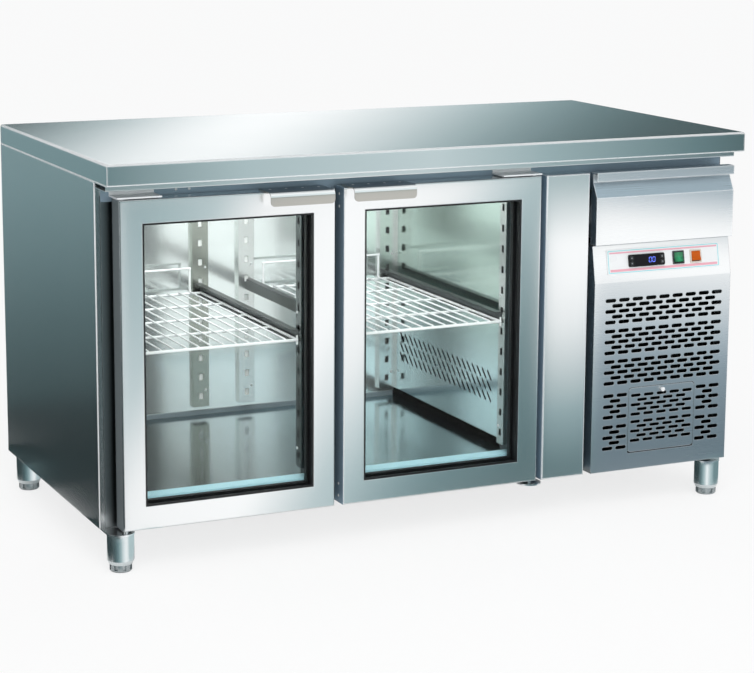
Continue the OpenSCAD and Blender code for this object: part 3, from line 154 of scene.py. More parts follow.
class Nodes(Tree):
    """A material with a Principled shader and short ways to feed it."""

    def __init__(self, name):
        self.mat = bpy.data.materials.new(name)
        self.mat.use_nodes = True
        super().__init__(self.mat.node_tree)
        self.bsdf = self.tree.nodes["Principled BSDF"]
        self.out = self.tree.nodes["Material Output"]

    def set(self, **values):
        """Set constants on the shader's own sockets."""
        for key, value in values.items():
            self.bsdf.inputs[key.replace("_", " ")].default_value = value

    def feed(self, value, socket):
        self.link(value, self.bsdf.inputs[socket])

    def noise(self, scale, detail=2.0, rough=0.5):
        """Noise in object space; scale is one number, or three for a stretched noise."""
        coord = self.add("ShaderNodeTexCoord")
        mapping = self.add("ShaderNodeMapping")
        if not isinstance(scale, tuple):
            scale = (scale, scale, scale)
        mapping.inputs["Scale"].default_value = scale
        self.link(coord.outputs["Object"], mapping.inputs["Vector"])
        tex = self.add("ShaderNodeTexNoise")
        tex.inputs["Scale"].default_value = 1.0
        tex.inputs["Detail"].default_value = detail
        tex.inputs["Roughness"].default_value = rough
        self.link(mapping.outputs["Vector"], tex.inputs["Vector"])
        return tex.outputs["Fac"]

    def ranged(self, value, lo, hi, low_in=0.3, high_in=0.7):
        """Map low_in to high_in onto lo to hi."""
        node = self.add("ShaderNodeMapRange")
        node.inputs["From Min"].default_value = low_in
        node.inputs["From Max"].default_value = high_in
        node.inputs["To Min"].default_value = lo
        node.inputs["To Max"].default_value = hi
        self.link(value, node.inputs["Value"])
        return node.outputs["Result"]

    def mix(self, fac, a, b):
        """Mix two colours, each a tuple or another node's output."""
        node = self.add("ShaderNodeMix", data_type="RGBA")
        for side, value in (("A", a), ("B", b)):
            if isinstance(value, tuple):
                node.inputs[side].default_value = (*value, 1.0)
            else:
                self.link(value, node.inputs[side])
        self.link(fac, node.inputs["Factor"])
        return node.outputs["Result"]

    def dot(self, a, b):
        """Dot product of an output with another output or with a fixed direction."""
        node = self.add("ShaderNodeVectorMath", operation="DOT_PRODUCT")
        self.link(a, node.inputs[0])
        if isinstance(b, tuple):
            node.inputs[1].default_value = b
        else:
            self.link(b, node.inputs[1])
        return node.outputs["Value"]

    def part(self, output, axis):
        """One component of the object-space point or normal."""
        coord = self.add("ShaderNodeTexCoord")
        split = self.add("ShaderNodeSeparateXYZ")
        self.link(coord.outputs[output], split.inputs["Vector"])
        return split.outputs[axis]

    def above(self, axis, limit, output="Object"):
        return self.math("GREATER_THAN", self.part(output, axis), limit)

    def below(self, axis, limit):
        return self.math("LESS_THAN", self.part("Object", axis), limit)

    def fade(self, axis, start, end):
        """0 before start and 1 after end along an axis, with a soft passage between."""
        return self.ranged(self.part("Object", axis), 0.0, 1.0, start, end)

    def rounded_normal(self, radius):
        edge = self.add("ShaderNodeBevel", samples=BEVEL_SAMPLES)
        edge.inputs["Radius"].default_value = radius
        return edge.outputs["Normal"]

    def bump(self, height, strength, bevel=0.0):
        node = self.add("ShaderNodeBump")
        node.inputs["Strength"].default_value = strength
        node.inputs["Distance"].default_value = BUMP_DISTANCE
        self.link(height, node.inputs["Height"])
        if bevel:
            self.link(self.rounded_normal(bevel), node.inputs["Normal"])
        self.feed(node.outputs["Normal"], "Normal")


def scaled(color, k):
    return tuple(min(1.0, c * k) for c in color)


# Places on the CAD nodes, in metres: each function gives 1 there and 0 elsewhere

FACING = 0.9
SLOPING = 0.2
EDGE_WIDTH = 0.003
EDGE_BENT, EDGE_FLAT = 0.975, 0.999
JAMB_IN, JAMB_OUT = -0.650, -0.672
HIGHLIGHT_WIDTH = 0.002
HEADER_Z = 0.69
HEM_Z = 0.7298
RIGHT_SHEET_X = 0.6735
FLOOR_TOP_Z = 0.1235
FLOOR_FADE_X = (-0.45, -0.05)
MULLION_X = (-0.30, -0.22)
PILASTERS_REAR_Y = 0.25
PILASTERS_FRONT_Y = -0.20
COVER_X = 0.2
COVER_FADE_Z = (0.28, 0.44)
SWITCH_SPLIT_X = 0.5695


# Faces that look sideways; the doors and the post get painted shade there.
def side_faces(m):
    return m.math("GREATER_THAN", m.math("ABSOLUTE", m.part("Normal", "X")), FACING)


def top_faces(m):
    return m.above("Z", FACING, "Normal")


def bend_faces(m):
    return m.above("Z", SLOPING, "Normal")


def edges(m):
    """Outer edges and folds, where a bright highlight is painted."""
    flat = m.add("ShaderNodeNewGeometry").outputs["True Normal"]
    return m.ranged(m.dot(m.rounded_normal(EDGE_WIDTH), flat), 1.0, 0.0, EDGE_BENT, EDGE_FLAT)


def sides_and_edges(m):
    return m.either(side_faces(m), edges(m))


def bends_and_edges(m):
    return m.either(bend_faces(m), edges(m))


# Outer part of the left jamb, painted pale as painted light, fading towards the door into the frame's
# painted shade.
def left_jamb(m):
    return m.ranged(m.part("Object", "X"), 1.0, 0.0, JAMB_OUT, JAMB_IN)


def front_edge_highlight(m):
    """The outer front edge of the left side panel, where a highlight is painted."""
    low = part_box("left_side_panel")[0]
    return m.both(m.below("X", low[0] + HIGHLIGHT_WIDTH), m.below("Y", low[1] + HIGHLIGHT_WIDTH))


# The frame's header under the worktop, where shade is painted.
def header(m):
    return m.above("Z", HEADER_Z)


# The worktop's lower hem, where a bright line is painted as a highlight.
def lower_hem(m):
    return m.below("Z", HEM_Z)


def hem_and_edges(m):
    return m.either(lower_hem(m), edges(m))


def right_inside(m):
    return m.below("X", RIGHT_SHEET_X)


def chamber_floor(m):
    return m.below("Z", FLOOR_TOP_Z)


def chamber_walls(m):
    return m.above("Z", FLOOR_TOP_Z)


# Right part of the chamber floor, painted lighter and bluish as a painted reflection.
def right_floor(m):
    return m.both(chamber_floor(m), m.fade("X", *FLOOR_FADE_X))


def left_rear(m):
    """The left compartment's rear pilasters."""
    return m.both(m.below("X", MULLION_X[1]), m.above("Y", PILASTERS_REAR_Y))


def mullion_pilaster(m):
    """The left compartment's right front pilaster, which stands in the shade of the mullion."""
    between = m.both(m.above("X", MULLION_X[0]), m.below("X", MULLION_X[1]))
    return m.both(between, m.below("Y", PILASTERS_FRONT_Y))


def behind_cover(m):
    return m.above("X", COVER_X)


def upper_cover(m):
    """The part of the evaporator cover over the shelf, painted darker and warmer as painted shade."""
    return m.fade("Z", *COVER_FADE_Z)


def right_switch(m):
    return m.above("X", SWITCH_SPLIT_X)


# Kinds of material

WEAR_SCALE = 3.1
WEAR_RANGE = (0.35, 0.65)
CLOUD_SCALE = 14.0
PLASTIC_BUMP = 0.06
SMOOTHER, ROUGHER = 0.04, 0.06
CELL_SCALE = 160.0
CELL_DARK, CELL_LIGHT = 0.7, 1.3
LENS_RIM = 0.35
BEZEL_GRAIN = 900.0
BEZEL_BUMP = 0.05


def brushed(name, color, rough, grain, bevel=0.0, masks=(), metal=1.0, contrast=0.02, depth=0.03,
            spread=0.03, matt=None):
    """Brushed sheet: long fine streaks along the axis with the smallest grain value, and faint cloudy wear.

    masks lists (place, colour): where place(m) is 1 the sheet has that colour instead. matt is a
    (place, metallic) pair: there the sheet is duller, so that it is less like a mirror.
    """
    m = Nodes(name)
    m.set(Metallic=metal)
    if matt:
        place, dull_metal = matt
        m.feed(m.ranged(place(m), metal, dull_metal, 0.0, 1.0), "Metallic")
    streak = m.noise(grain, detail=3.0, rough=0.6)
    cloud = m.noise(WEAR_SCALE, detail=3.0, rough=0.55)
    mean = m.math("MULTIPLY", m.math("ADD", streak, cloud), 0.5)
    wear = m.ranged(mean, 0.0, 1.0, *WEAR_RANGE)
    sheet = m.mix(wear, scaled(color, 1 - contrast), scaled(color, 1 + contrast))
    for place, other in masks:
        sheet = m.mix(place(m), sheet, other)
    m.feed(sheet, "Base Color")
    m.feed(m.ranged(mean, rough - spread, rough + spread), "Roughness")
    m.bump(streak, depth, bevel)
    return m.mat


def plastic(name, color, rough, speck=0.04, grain=900.0, bevel=0.0, coat=0.0, specular=0.5):
    """Moulded or painted surface with a fine grain and soft clouds."""
    m = Nodes(name)
    m.set(Coat_Weight=coat, Specular_IOR_Level=specular)
    fine = m.noise(grain)
    cloud = m.noise(CLOUD_SCALE)
    m.feed(m.mix(cloud, scaled(color, 1 - speck), scaled(color, 1 + speck)), "Base Color")
    m.feed(m.ranged(cloud, rough - SMOOTHER, rough + ROUGHER), "Roughness")
    m.bump(fine, PLASTIC_BUMP, bevel)
    return m.mat


def glow(name, color, strength, node=None):
    """Lit plastic with a soft cell pattern; a node's lens is brightest in the middle."""
    m = Nodes(name)
    m.set(Roughness=0.2, Emission_Strength=strength)
    cells = m.ranged(m.noise(CELL_SCALE, detail=1.0), 0.0, 1.0)
    lit = m.mix(cells, scaled(color, CELL_DARK), scaled(color, CELL_LIGHT))
    if node:
        lo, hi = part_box(node)
        off = m.math("ABSOLUTE", m.math("SUBTRACT", m.part("Object", "X"), (lo[0] + hi[0]) / 2))
        middle = m.ranged(off, 1.0, 0.0, 0.0, (hi[0] - lo[0]) / 2)
        lit = m.mix(middle, scaled(color, LENS_RIM), lit)
    m.feed(lit, "Base Color")
    m.feed(lit, "Emission Color")
    return m.mat


def glass(name, tint):
    """Clear pane with little glare that lets the lamps through."""
    m = Nodes(name)
    m.set(Transmission_Weight=1.0, Roughness=0.0, IOR=1.12, Base_Color=(*tint, 1.0))
    clear = m.add("ShaderNodeBsdfTransparent")
    clear.inputs["Color"].default_value = (*tint, 1.0)
    path = m.add("ShaderNodeLightPath")
    m.blend(path.outputs["Is Shadow Ray"], m.bsdf.outputs["BSDF"], clear.outputs["BSDF"], m.out)
    return m.mat


def two_bezels(name, left_color, right_color):
    """Plastic of both switch bezels, which are one node and told apart by place."""
    m = Nodes(name)
    m.set(Roughness=0.35)
    m.feed(m.mix(right_switch(m), left_color, right_color), "Base Color")
    m.bump(m.noise(BEZEL_GRAIN), BEZEL_BUMP, MOULDED_EDGE)
    return m.mat


# Materials: the streak noise is stretched along the axis that the grain is named after

ALONG_X = (5.0, 1100.0, 1100.0)
ALONG_Y = (1100.0, 5.0, 1100.0)
ALONG_Z = (1100.0, 1100.0, 5.0)

# Radius of shaded edges, in metres
WIDE_FOLD = 0.004
FOLD = 0.003
TIGHT_FOLD = 0.002
BAR_EDGE = 0.0006
TRIM_EDGE = 0.0005
MOULDED_EDGE = 0.0004

# Metallic level of dull and of satin places
DULL = 0.3
SATIN = 0.85

STEEL = (0.80, 0.815, 0.82)
ZINC = (0.86, 0.88, 0.89)
# Painted highlight on edges, folds and hems
PAINTED_HIGHLIGHT = (0.90, 0.92, 0.93)
# Painted shade on the side faces of the right door and the post
BLUE_SHADED_SIDE = (0.29, 0.41, 0.51)
# Painted shade on the side faces of the left door
DARK_SHADED_SIDE = (0.19, 0.215, 0.225)
# Painted shade on the header under the worktop
SHADED_HEADER = (0.29, 0.39, 0.47)
# Painted reflection on the drawer front's slope
SLOPE_REFLECTION = (0.38, 0.47, 0.53)
# Painted light on the outer part of the left jamb
LIT_JAMB = (0.80, 0.84, 0.85)
# Painted highlight on the handles' bend
HANDLE_HIGHLIGHT = (0.86, 0.88, 0.88)
# Painted dark reflection on the handles' top faces
HANDLE_TOP_REFLECTION = (0.25, 0.31, 0.36)
# Painted shade on the chamber floor
SHADED_FLOOR = (0.19, 0.23, 0.235)
# Painted reflection on the right part of the chamber floor
FLOOR_REFLECTION = (0.46, 0.60, 0.65)
# Painted shade on the upper evaporator cover
SHADED_COVER_TOP = (0.66, 0.80, 0.73)
WARM_PILASTER = (0.44, 0.47, 0.42)
SHADED_PILASTER = (0.19, 0.21, 0.21)
SHADE = (0.012, 0.014, 0.015)

PLAIN = {"contrast": 0.006, "depth": 0.003, "spread": 0.012}
SHEET = {"rough": 0.26, "grain": ALONG_Z, "bevel": FOLD}
FRONT_SHEET = {"rough": 0.28, "grain": ALONG_X, "bevel": TIGHT_FOLD,
               "contrast": 0.01, "depth": 0.01, "spread": 0.02}
MATS = {
    # Outer sheets and front
    # Worktop: painted highlight on its lower hem and on its edges
    "top": brushed("steel_top", STEEL, rough=0.17, grain=ALONG_X, bevel=WIDE_FOLD, **PLAIN,
                   masks=[(lower_hem, PAINTED_HIGHLIGHT), (edges, PAINTED_HIGHLIGHT)], matt=(hem_and_edges, DULL)),
    "side": brushed("steel_side", STEEL, **SHEET),
    # Left side panel: a painted highlight along its outer front edge
    "left_side": brushed("steel_left_side", STEEL, rough=0.26, grain=ALONG_Z, bevel=WIDE_FOLD, **PLAIN,
                         masks=[(front_edge_highlight, PAINTED_HIGHLIGHT)], matt=(front_edge_highlight, DULL)),
    "right_side": brushed("steel_right_side", STEEL, **SHEET, masks=[(right_inside, SHADE)]),
    # Left door: its side faces are painted dark as painted shade in the gaps
    "left_door": brushed("steel_left_door", STEEL, **SHEET, **PLAIN,
                         masks=[(side_faces, DARK_SHADED_SIDE)], matt=(side_faces, DULL)),
    # Right door: its side faces are painted blue-grey as painted shade in the gaps
    "right_door": brushed("steel_right_door", STEEL, **SHEET, **PLAIN,
                          masks=[(side_faces, BLUE_SHADED_SIDE)], matt=(side_faces, DULL)),
    # Post: painted blue-grey shade on its side faces and painted highlight on its edges
    "front": brushed("steel_front", STEEL, **SHEET, **PLAIN,
                     masks=[(side_faces, BLUE_SHADED_SIDE), (edges, PAINTED_HIGHLIGHT)], matt=(sides_and_edges, DULL)),
    # Front frame: its dark colour is painted shade in the gaps round the doors, the left jamb is painted
    # light fading into that shade, and the header carries painted shade
    "frame": brushed("steel_frame", (0.10, 0.11, 0.115), rough=0.3, grain=ALONG_Z, bevel=BAR_EDGE,
                     masks=[(left_jamb, LIT_JAMB), (header, SHADED_HEADER)], matt=(header, DULL)),
    # Header: its blue-grey is painted shade under the worktop
    "header": brushed("steel_header", SHADED_HEADER, rough=0.3, grain=ALONG_X, metal=DULL),
    "rail": brushed("steel_rail", (0.72, 0.745, 0.75), rough=0.3, grain=ALONG_X, bevel=BAR_EDGE),
    "fascia": brushed("steel_fascia", STEEL, **FRONT_SHEET),
    # Drawer front: its slope is painted blue-grey as painted reflection, and its edges carry painted
    # highlight
    "drawer": brushed("steel_drawer", STEEL, **FRONT_SHEET,
                      masks=[(bend_faces, SLOPE_REFLECTION), (edges, PAINTED_HIGHLIGHT)], matt=(bends_and_edges, DULL)),
    # Handles: painted highlight on the bend and painted dark reflection on the top faces
    "handle": brushed("steel_handle", (0.43, 0.42, 0.39), rough=0.32, grain=ALONG_X, bevel=TRIM_EDGE,
                      metal=0.75, masks=[(bend_faces, HANDLE_HIGHLIGHT), (top_faces, HANDLE_TOP_REFLECTION)]),
    "bright": brushed("steel_bright", (0.84, 0.86, 0.87), rough=0.25, grain=ALONG_X, bevel=TRIM_EDGE),
    "hinge": brushed("zinc_hinge", ZINC, rough=0.35, grain=ALONG_X, bevel=TRIM_EDGE, metal=0.1),
    "screw": brushed("zinc_screw", ZINC, rough=0.3, grain=ALONG_X, metal=0.3),
    "leg": brushed("steel_leg", (0.74, 0.78, 0.79), rough=0.26, grain=ALONG_Z, **PLAIN),
    "foot": brushed("steel_foot", (0.42, 0.45, 0.46), rough=0.3, grain=ALONG_Z, bevel=TRIM_EDGE),

    # Chamber and machine bay
    # Liner: the chamber floor is painted dark as painted shade and lighter and bluish towards the right as
    # painted reflection; behind the cover it is painted shade
    "liner": brushed("liner_steel", (0.93, 0.985, 0.965), rough=0.14, grain=ALONG_X,
                     masks=[(chamber_floor, SHADED_FLOOR), (right_floor, FLOOR_REFLECTION), (behind_cover, SHADE)],
                     matt=(chamber_walls, SATIN)),
    # Evaporator cover: painted darker, warmer shade towards its top
    "cover": brushed("cover_steel", (0.84, 0.97, 0.985), rough=0.14, grain=ALONG_Y, bevel=TRIM_EDGE,
                     masks=[(upper_cover, SHADED_COVER_TOP)]),
    "pilaster": brushed("pilaster_steel", (0.80, 0.83, 0.81), rough=0.22, grain=ALONG_Z, bevel=TRIM_EDGE,
                        masks=[(left_rear, WARM_PILASTER), (mullion_pilaster, SHADED_PILASTER)]),
    # Shelf runners: near-black steel as painted shade in their channels
    "guide": brushed("guide_steel", (0.13, 0.14, 0.14), rough=0.3, grain=ALONG_Y, bevel=TRIM_EDGE),
    # Dark steel of the motors, runners and tray; on the partition panel it is painted shade behind the
    # cover's gap
    "dark": brushed("dark_steel", (0.10, 0.11, 0.12), rough=0.4, grain=ALONG_Y),
    # Coil fins: painted nearly black as painted shade inside the bays
    "fins": brushed("fin_metal", (0.05, 0.054, 0.058), rough=0.5, grain=ALONG_Z),
    "white": plastic("white_coat", (0.86, 0.88, 0.88), rough=0.28, speck=0.02, grain=500.0, coat=0.3),
    "pale": plastic("pale_strip", (0.40, 0.66, 0.73), rough=0.35, speck=0.03),
    # Pale strips behind the pilaster slots: painted light seen through the slots
    "slot_light": plastic("pale_slot_light", (0.86, 0.88, 0.86), rough=0.5, speck=0.03),
    "skirting": plastic("skirting", (0.20, 0.25, 0.27), rough=0.4, speck=0.05),
    "paint": plastic("black_paint", (0.02, 0.02, 0.022), rough=0.25, speck=0.2, grain=300.0),
    "rubber": plastic("seal_rubber", (0.10, 0.115, 0.12), rough=0.6, speck=0.1, grain=600.0),
    "foam": plastic("foam", (0.8, 0.72, 0.5), rough=0.8, speck=0.08, grain=200.0),
    "black": plastic("black_plastic", (0.02, 0.021, 0.023), rough=0.32, speck=0.2, bevel=MOULDED_EDGE),
    "bead": plastic("glazing_bead", (0.012, 0.013, 0.014), rough=0.5, speck=0.2, bevel=MOULDED_EDGE,
                    specular=0.3),
    "glass": glass("clear_glass", (0.985, 0.997, 0.995)),

    # Control part and flap
    "knob": plastic("knob_plastic", (0.74, 0.76, 0.77), rough=0.3, speck=0.02, coat=0.3),
    "case": plastic("controller_case", (0.007, 0.008, 0.009), rough=0.34, speck=0.2, bevel=MOULDED_EDGE,
                    specular=0.12),
    "overlay": plastic("overlay_film", (0.76, 0.775, 0.785), rough=0.3, speck=0.01, grain=1500.0),
    "cyan": plastic("overlay_cyan", (0.27, 0.66, 0.71), rough=0.35, speck=0.02, grain=1500.0),
    "pink": plastic("overlay_pink", (0.74, 0.36, 0.43), rough=0.35, speck=0.06, grain=1500.0),
    "key": plastic("key_plastic", (0.03, 0.032, 0.034), rough=0.4, speck=0.1, specular=0.15),
    "mark": plastic("key_mark", (0.24, 0.26, 0.28), rough=0.5, speck=0.05),
    "screen": plastic("screen", (0.005, 0.005, 0.007), rough=0.12, speck=0.3, specular=0.12),
    "orange": plastic("orange_lens", (0.47, 0.085, 0.004), rough=0.3, speck=0.2, grain=300.0,
                      specular=0.15),
    "green": glow("green_lens", (0.012, 0.16, 0.065), strength=0.6, node="green_rocker"),
    "digit": glow("digit_blue", (0.10, 0.16, 0.85), strength=1.1),
    "bezel": two_bezels("bezel_plastic", (0.012, 0.02, 0.022), (0.62, 0.56, 0.49)),
}

NODE_MATS = {
    "top": ["worktop"],
    "rail": ["front_rail"],
    "side": ["back_panel", "base_panel"],
    "left_side": ["left_side_panel"],
    "right_side": ["right_side_panel"],
    "left_door": ["left_door_frame"],
    "right_door": ["right_door_frame"],
    "front": ["fixed_post"],
    "frame": ["front_frame"],
    "fascia": ["fascia_panel", "filter_flap", "drawer_box"],
    "drawer": ["drawer_front"],
    "handle": ["left_door_handle", "right_door_handle"],
    "bright": ["base_plates"],
    "hinge": ["top_hinges"],
    "knob": ["flap_knob"],
    "leg": ["legs"],
    "foot": ["front_left_foot", "front_right_foot", "rear_left_foot", "rear_right_foot"],
    "liner": ["inner_liner"],
    "cover": ["evaporator_cover"],
    "pilaster": ["pilasters"],
    "guide": ["shelf_runners"],
    "dark": ["drawer_runners", "evaporator_fan_motor", "condenser_fan_motor", "partition_panel",
             "drip_tray"],
    "fins": ["evaporator_coil", "condenser_coil"],
    "white": ["left_shelf", "right_shelf"],
    "pale": ["breaker_strips"],
    "black": ["evaporator_fan", "condenser_fan", "cord_gland"],
    "bead": ["left_door_bead", "right_door_bead", "left_door_spacer", "right_door_spacer"],
    "case": ["controller"],
    "paint": ["compressor"],
    "rubber": ["left_door_seal", "right_door_seal"],
    "foam": ["insulation"],
    "overlay": ["control_plate"],
    "key": ["upper_left_key", "lower_left_key", "upper_right_key", "lower_right_key"],
    "bezel": ["switch_bezels"],
    "green": ["green_rocker"],
    "orange": ["orange_rocker"],
    "glass": ["left_door_panes", "right_door_panes"],
}


def dress_nodes():
    for key, names in NODE_MATS.items():
        for name in names:
            obj = NODES[name]
            if not obj.material_slots:
                obj.data.materials.append(MATS[key])
            for slot in obj.material_slots:
                slot.material = MATS[key]


# Ways to make added pieces: their lengths are in millimetres

def piece(name, bm, mat, body, smooth=False):
    bmesh.ops.recalc_face_normals(bm, faces=bm.faces)
    obj = new_object(name, new_mesh(name, bm))
    if smooth:
        for poly in obj.data.polygons:
            poly.use_smooth = True
    obj.data.materials.append(MATS[mat])
    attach(obj, body)


def prism(bm, points, place, w0, w1):
    """Closed prism over a flat outline; place turns (u, v, w) into a point."""
    low = [bm.verts.new(place(u, v, w0)) for u, v in points]
    high = [bm.verts.new(place(u, v, w1)) for u, v in points]
    bm.faces.new(low[::-1])
    bm.faces.new(high)
    for i in range(len(points)):
        j = (i + 1) % len(points)
        bm.faces.new((low[i], low[j], high[j], high[i]))


def frame_ring(bm, outer, inner, place, w0, w1):
    """Closed ring between two outlines of the same number of points."""
    loops = [[bm.verts.new(place(u, v, w)) for u, v in line] for line in (outer, inner) for w in (w0, w1)]
    out_low, out_high, in_low, in_high = loops
    count = len(outer)
    for i in range(count):
        j = (i + 1) % count
        bm.faces.new((out_low[i], out_low[j], out_high[j], out_high[i]))
        bm.faces.new((in_low[j], in_low[i], in_high[i], in_high[j]))
        bm.faces.new((out_high[i], out_high[j], in_high[j], in_high[i]))
        bm.faces.new((out_low[j], out_low[i], in_low[i], in_low[j]))


QUARTER = 90
ARC_STEPS = 6


def rounded(half_u, half_v, r, middle=0.0):
    """Outline of a rectangle with round corners, centred on middle in u."""
    u0, u1 = middle - half_u + r, middle + half_u - r
    v0, v1 = r - half_v, half_v - r
    points = []
    for turn, (u, v) in enumerate(((u1, v1), (u0, v1), (u0, v0), (u1, v0))):
        for i in range(ARC_STEPS + 1):
            t = math.radians(QUARTER * turn + QUARTER * i / ARC_STEPS)
            points.append((u + r * math.cos(t), v + r * math.sin(t)))
    return points


def along_x(u, v, w):
    """Place an outline in Y and Z that runs along X."""
    return Vector((w, u, v)) * MM


def along_z(u, v, w):
    """Place an outline in X and Y that runs along Z."""
    return Vector((u, v, w)) * MM


def strip(name, outline, place, ends, mat, body):
    bm = bmesh.new()
    prism(bm, outline, place, *ends)
    piece(name, bm, mat, body)


# Screws: rings of a head are (share of the radius, share of the height)

HEAD_RINGS = ((0.2, 1.0), (0.38, 0.98), (0.5, 0.95), (0.6, 0.9), (0.75, 0.8), (0.9, 0.55), (1.0, 0.2),
              (1.0, 0.0))
HEAD_SEGMENTS = 32
CROSS_ARM = 0.14
CROSS_REACH = 0.55
CROSS_DEPTH = 0.75


def screw(bm, at, normal, r, height):
    """Low domed head with a cross recess."""
    n = Vector(normal).normalized()
    u = n.orthogonal().normalized()
    v = n.cross(u)

    def point(a, b, h):
        if math.hypot(a, b) < CROSS_REACH and (abs(a) < CROSS_ARM or abs(b) < CROSS_ARM):
            h -= CROSS_DEPTH * height
        return bm.verts.new(at + r * (a * u + b * v) + h * n)

    centre = point(0.0, 0.0, height)
    rings = []
    for f, h in HEAD_RINGS:
        ring = []
        for i in range(HEAD_SEGMENTS):
            t = 2 * math.pi * i / HEAD_SEGMENTS
            ring.append(point(f * math.cos(t), f * math.sin(t), h * height))
        rings.append(ring)
    for i in range(HEAD_SEGMENTS):
        j = (i + 1) % HEAD_SEGMENTS
        bm.faces.new((centre, rings[0][i], rings[0][j]))
        for a, b in zip(rings, rings[1:]):
            bm.faces.new((a[i], b[i], b[j], a[j]))
    bm.faces.new(rings[-1])


def screws(name, body, places, r, height):
    """One piece of several screws; places are (point, direction that the head faces)."""
    bm = bmesh.new()
    for at, normal in places:
        screw(bm, Vector([c * MM for c in at]), normal, r * MM, height * MM)
    piece(name, bm, "screw", body, smooth=True)


HANDLE_X = {"left": -364.0, "right": -194.0}
HANDLE_W = 130.0
HANDLE_SCREWS = (0.12, 0.37, 0.63, 0.88)
HANDLE_SCREW_Y, HANDLE_SCREW_Z = -306.0, 700.0
DOOR_EDGES = {"left": (-223.0, RIGHT), "right": (-205.0, LEFT)}
DOOR_EDGE_SCREW_Y = -303.0
DOOR_EDGE_SCREWS_Z = (684.0, 660.0, 116.0, 92.0)


def door_screws():
    for side in ("left", "right"):
        body = side + "_door"
        places = []
        for share in HANDLE_SCREWS:
            x = HANDLE_X[side] + share * HANDLE_W
            places.append(((x, HANDLE_SCREW_Y, HANDLE_SCREW_Z), UP))
        screws(body + "_handle_screws", body, places, r=2.6, height=0.9)
        x, normal = DOOR_EDGES[side]
        places = [((x, DOOR_EDGE_SCREW_Y, z), normal) for z in DOOR_EDGE_SCREWS_Z]
        screws(body + "_edge_screws", body, places, r=2.8, height=0.8)


HINGE_SCREWS_X = (-618.0, -582.0, 174.0, 210.0)
HINGE_SCREW_Y, HINGE_SCREW_Z = -288.0, 703.0
HEADER_SCREWS_X = (-522.0, -496.0)
HEADER_SCREW_Y, HEADER_SCREW_Z = -273.0, 706.0
PILASTERS = ((-605.0, RIGHT), (-267.0, LEFT), (-161.0, RIGHT), (177.0, LEFT))
PILASTER_SCREWS_Z = (449.0, 179.0)
FRONT_PILASTER_Y, REAR_PILASTER_Y = -243.0, 288.0
REAR_SCREW_OFFSET = 11.0


def cabinet_screws():
    """Screws of the top hinges, the pilasters and the header."""
    places = [((x, HINGE_SCREW_Y, HINGE_SCREW_Z), UP) for x in HINGE_SCREWS_X]
    for x, normal in PILASTERS:
        places += [((x, FRONT_PILASTER_Y, z), normal) for z in PILASTER_SCREWS_Z]
    places += [((x, HEADER_SCREW_Y, HEADER_SCREW_Z), FRONT) for x in HEADER_SCREWS_X]
    for x, _ in PILASTERS:
        places += [((x + REAR_SCREW_OFFSET, REAR_PILASTER_Y, z), FRONT) for z in PILASTER_SCREWS_Z]
    screws("cabinet_screws", "cabinet", places, r=2.8, height=1.0)


BACK_X = (-660.0, 654.0)
BACK_Z = (90.0, 712.0)
BACK_SCREW_Y = 349.4
BACK_COLUMNS = 8
BACK_ROWS = 4


def back_screws():
    """Screws along the four edges of the back panel."""
    places = []
    for i in range(BACK_COLUMNS + 1):
        x = BACK_X[0] + i * (BACK_X[1] - BACK_X[0]) / BACK_COLUMNS
        places += [((x, BACK_SCREW_Y, z), BACK) for z in BACK_Z]
    for i in range(1, BACK_ROWS):
        z = BACK_Z[0] + i * (BACK_Z[1] - BACK_Z[0]) / BACK_ROWS
        places += [((x, BACK_SCREW_Y, z), BACK) for x in BACK_X]
    screws("back_screws", "cabinet", places, r=3.2, height=0.55)


# Control part: its tilted plane is the same as in the solids, with u right, v up and w out

TILT_DEPTH, TILT_HEIGHT = 14.0, 75.0
TILT = math.atan(TILT_DEPTH / TILT_HEIGHT)
TILT_ORIGIN = Vector((514.5, -325.0, 472.0))
PLATE_RAISED = 3.0
PLATE_V = math.hypot(TILT_HEIGHT, TILT_DEPTH) / 2 + PLATE_RAISED
PLATE_TOP = 0.8
CONTROLLER_U = -43.0
CONTROLLER_H = 5.0
CONTROLLER_TOP = PLATE_TOP + CONTROLLER_H
KEY_PROUD = 0.4
KEY_FACE = CONTROLLER_TOP + KEY_PROUD
SCREEN_SUNK = 0.6
SCREEN_FACE = CONTROLLER_TOP - SCREEN_SUNK


def on_tilt(u, v, w):
    across = Vector((u, 0.0, 0.0))
    rise = (v + PLATE_V) * Vector((0.0, math.sin(TILT), math.cos(TILT)))
    out = w * Vector((0.0, -math.cos(TILT), math.sin(TILT)))
    return (TILT_ORIGIN + across + rise + out) * MM


FILM_SUNK, FILM_PROUD = 0.02, 0.12
FILM_BOTTOM = PLATE_TOP - FILM_SUNK
FILM_TOP = PLATE_TOP + FILM_PROUD
BORDER_OUTER = {"half_u": 132.0, "half_v": 23.0, "r": 2.5}
BORDER_INNER = {"half_u": 130.4, "half_v": 21.4, "r": 1.5}
STRIPE_U = 128.0
STRIPES_V = ((-20.0, -15.2), (16.6, 19.6))


def overlay_design():
    """Thin border and two stripes on the control plate."""
    bm = bmesh.new()
    frame_ring(bm, rounded(**BORDER_OUTER), rounded(**BORDER_INNER), on_tilt, FILM_BOTTOM, FILM_TOP)
    piece("overlay_border", bm, "cyan", "cabinet")
    bm = bmesh.new()
    for v0, v1 in STRIPES_V:
        outline = [(-STRIPE_U, v0), (STRIPE_U, v0), (STRIPE_U, v1), (-STRIPE_U, v1)]
        prism(bm, outline, on_tilt, FILM_BOTTOM, FILM_TOP)
    piece("overlay_stripes", bm, "pink", "cabinet")


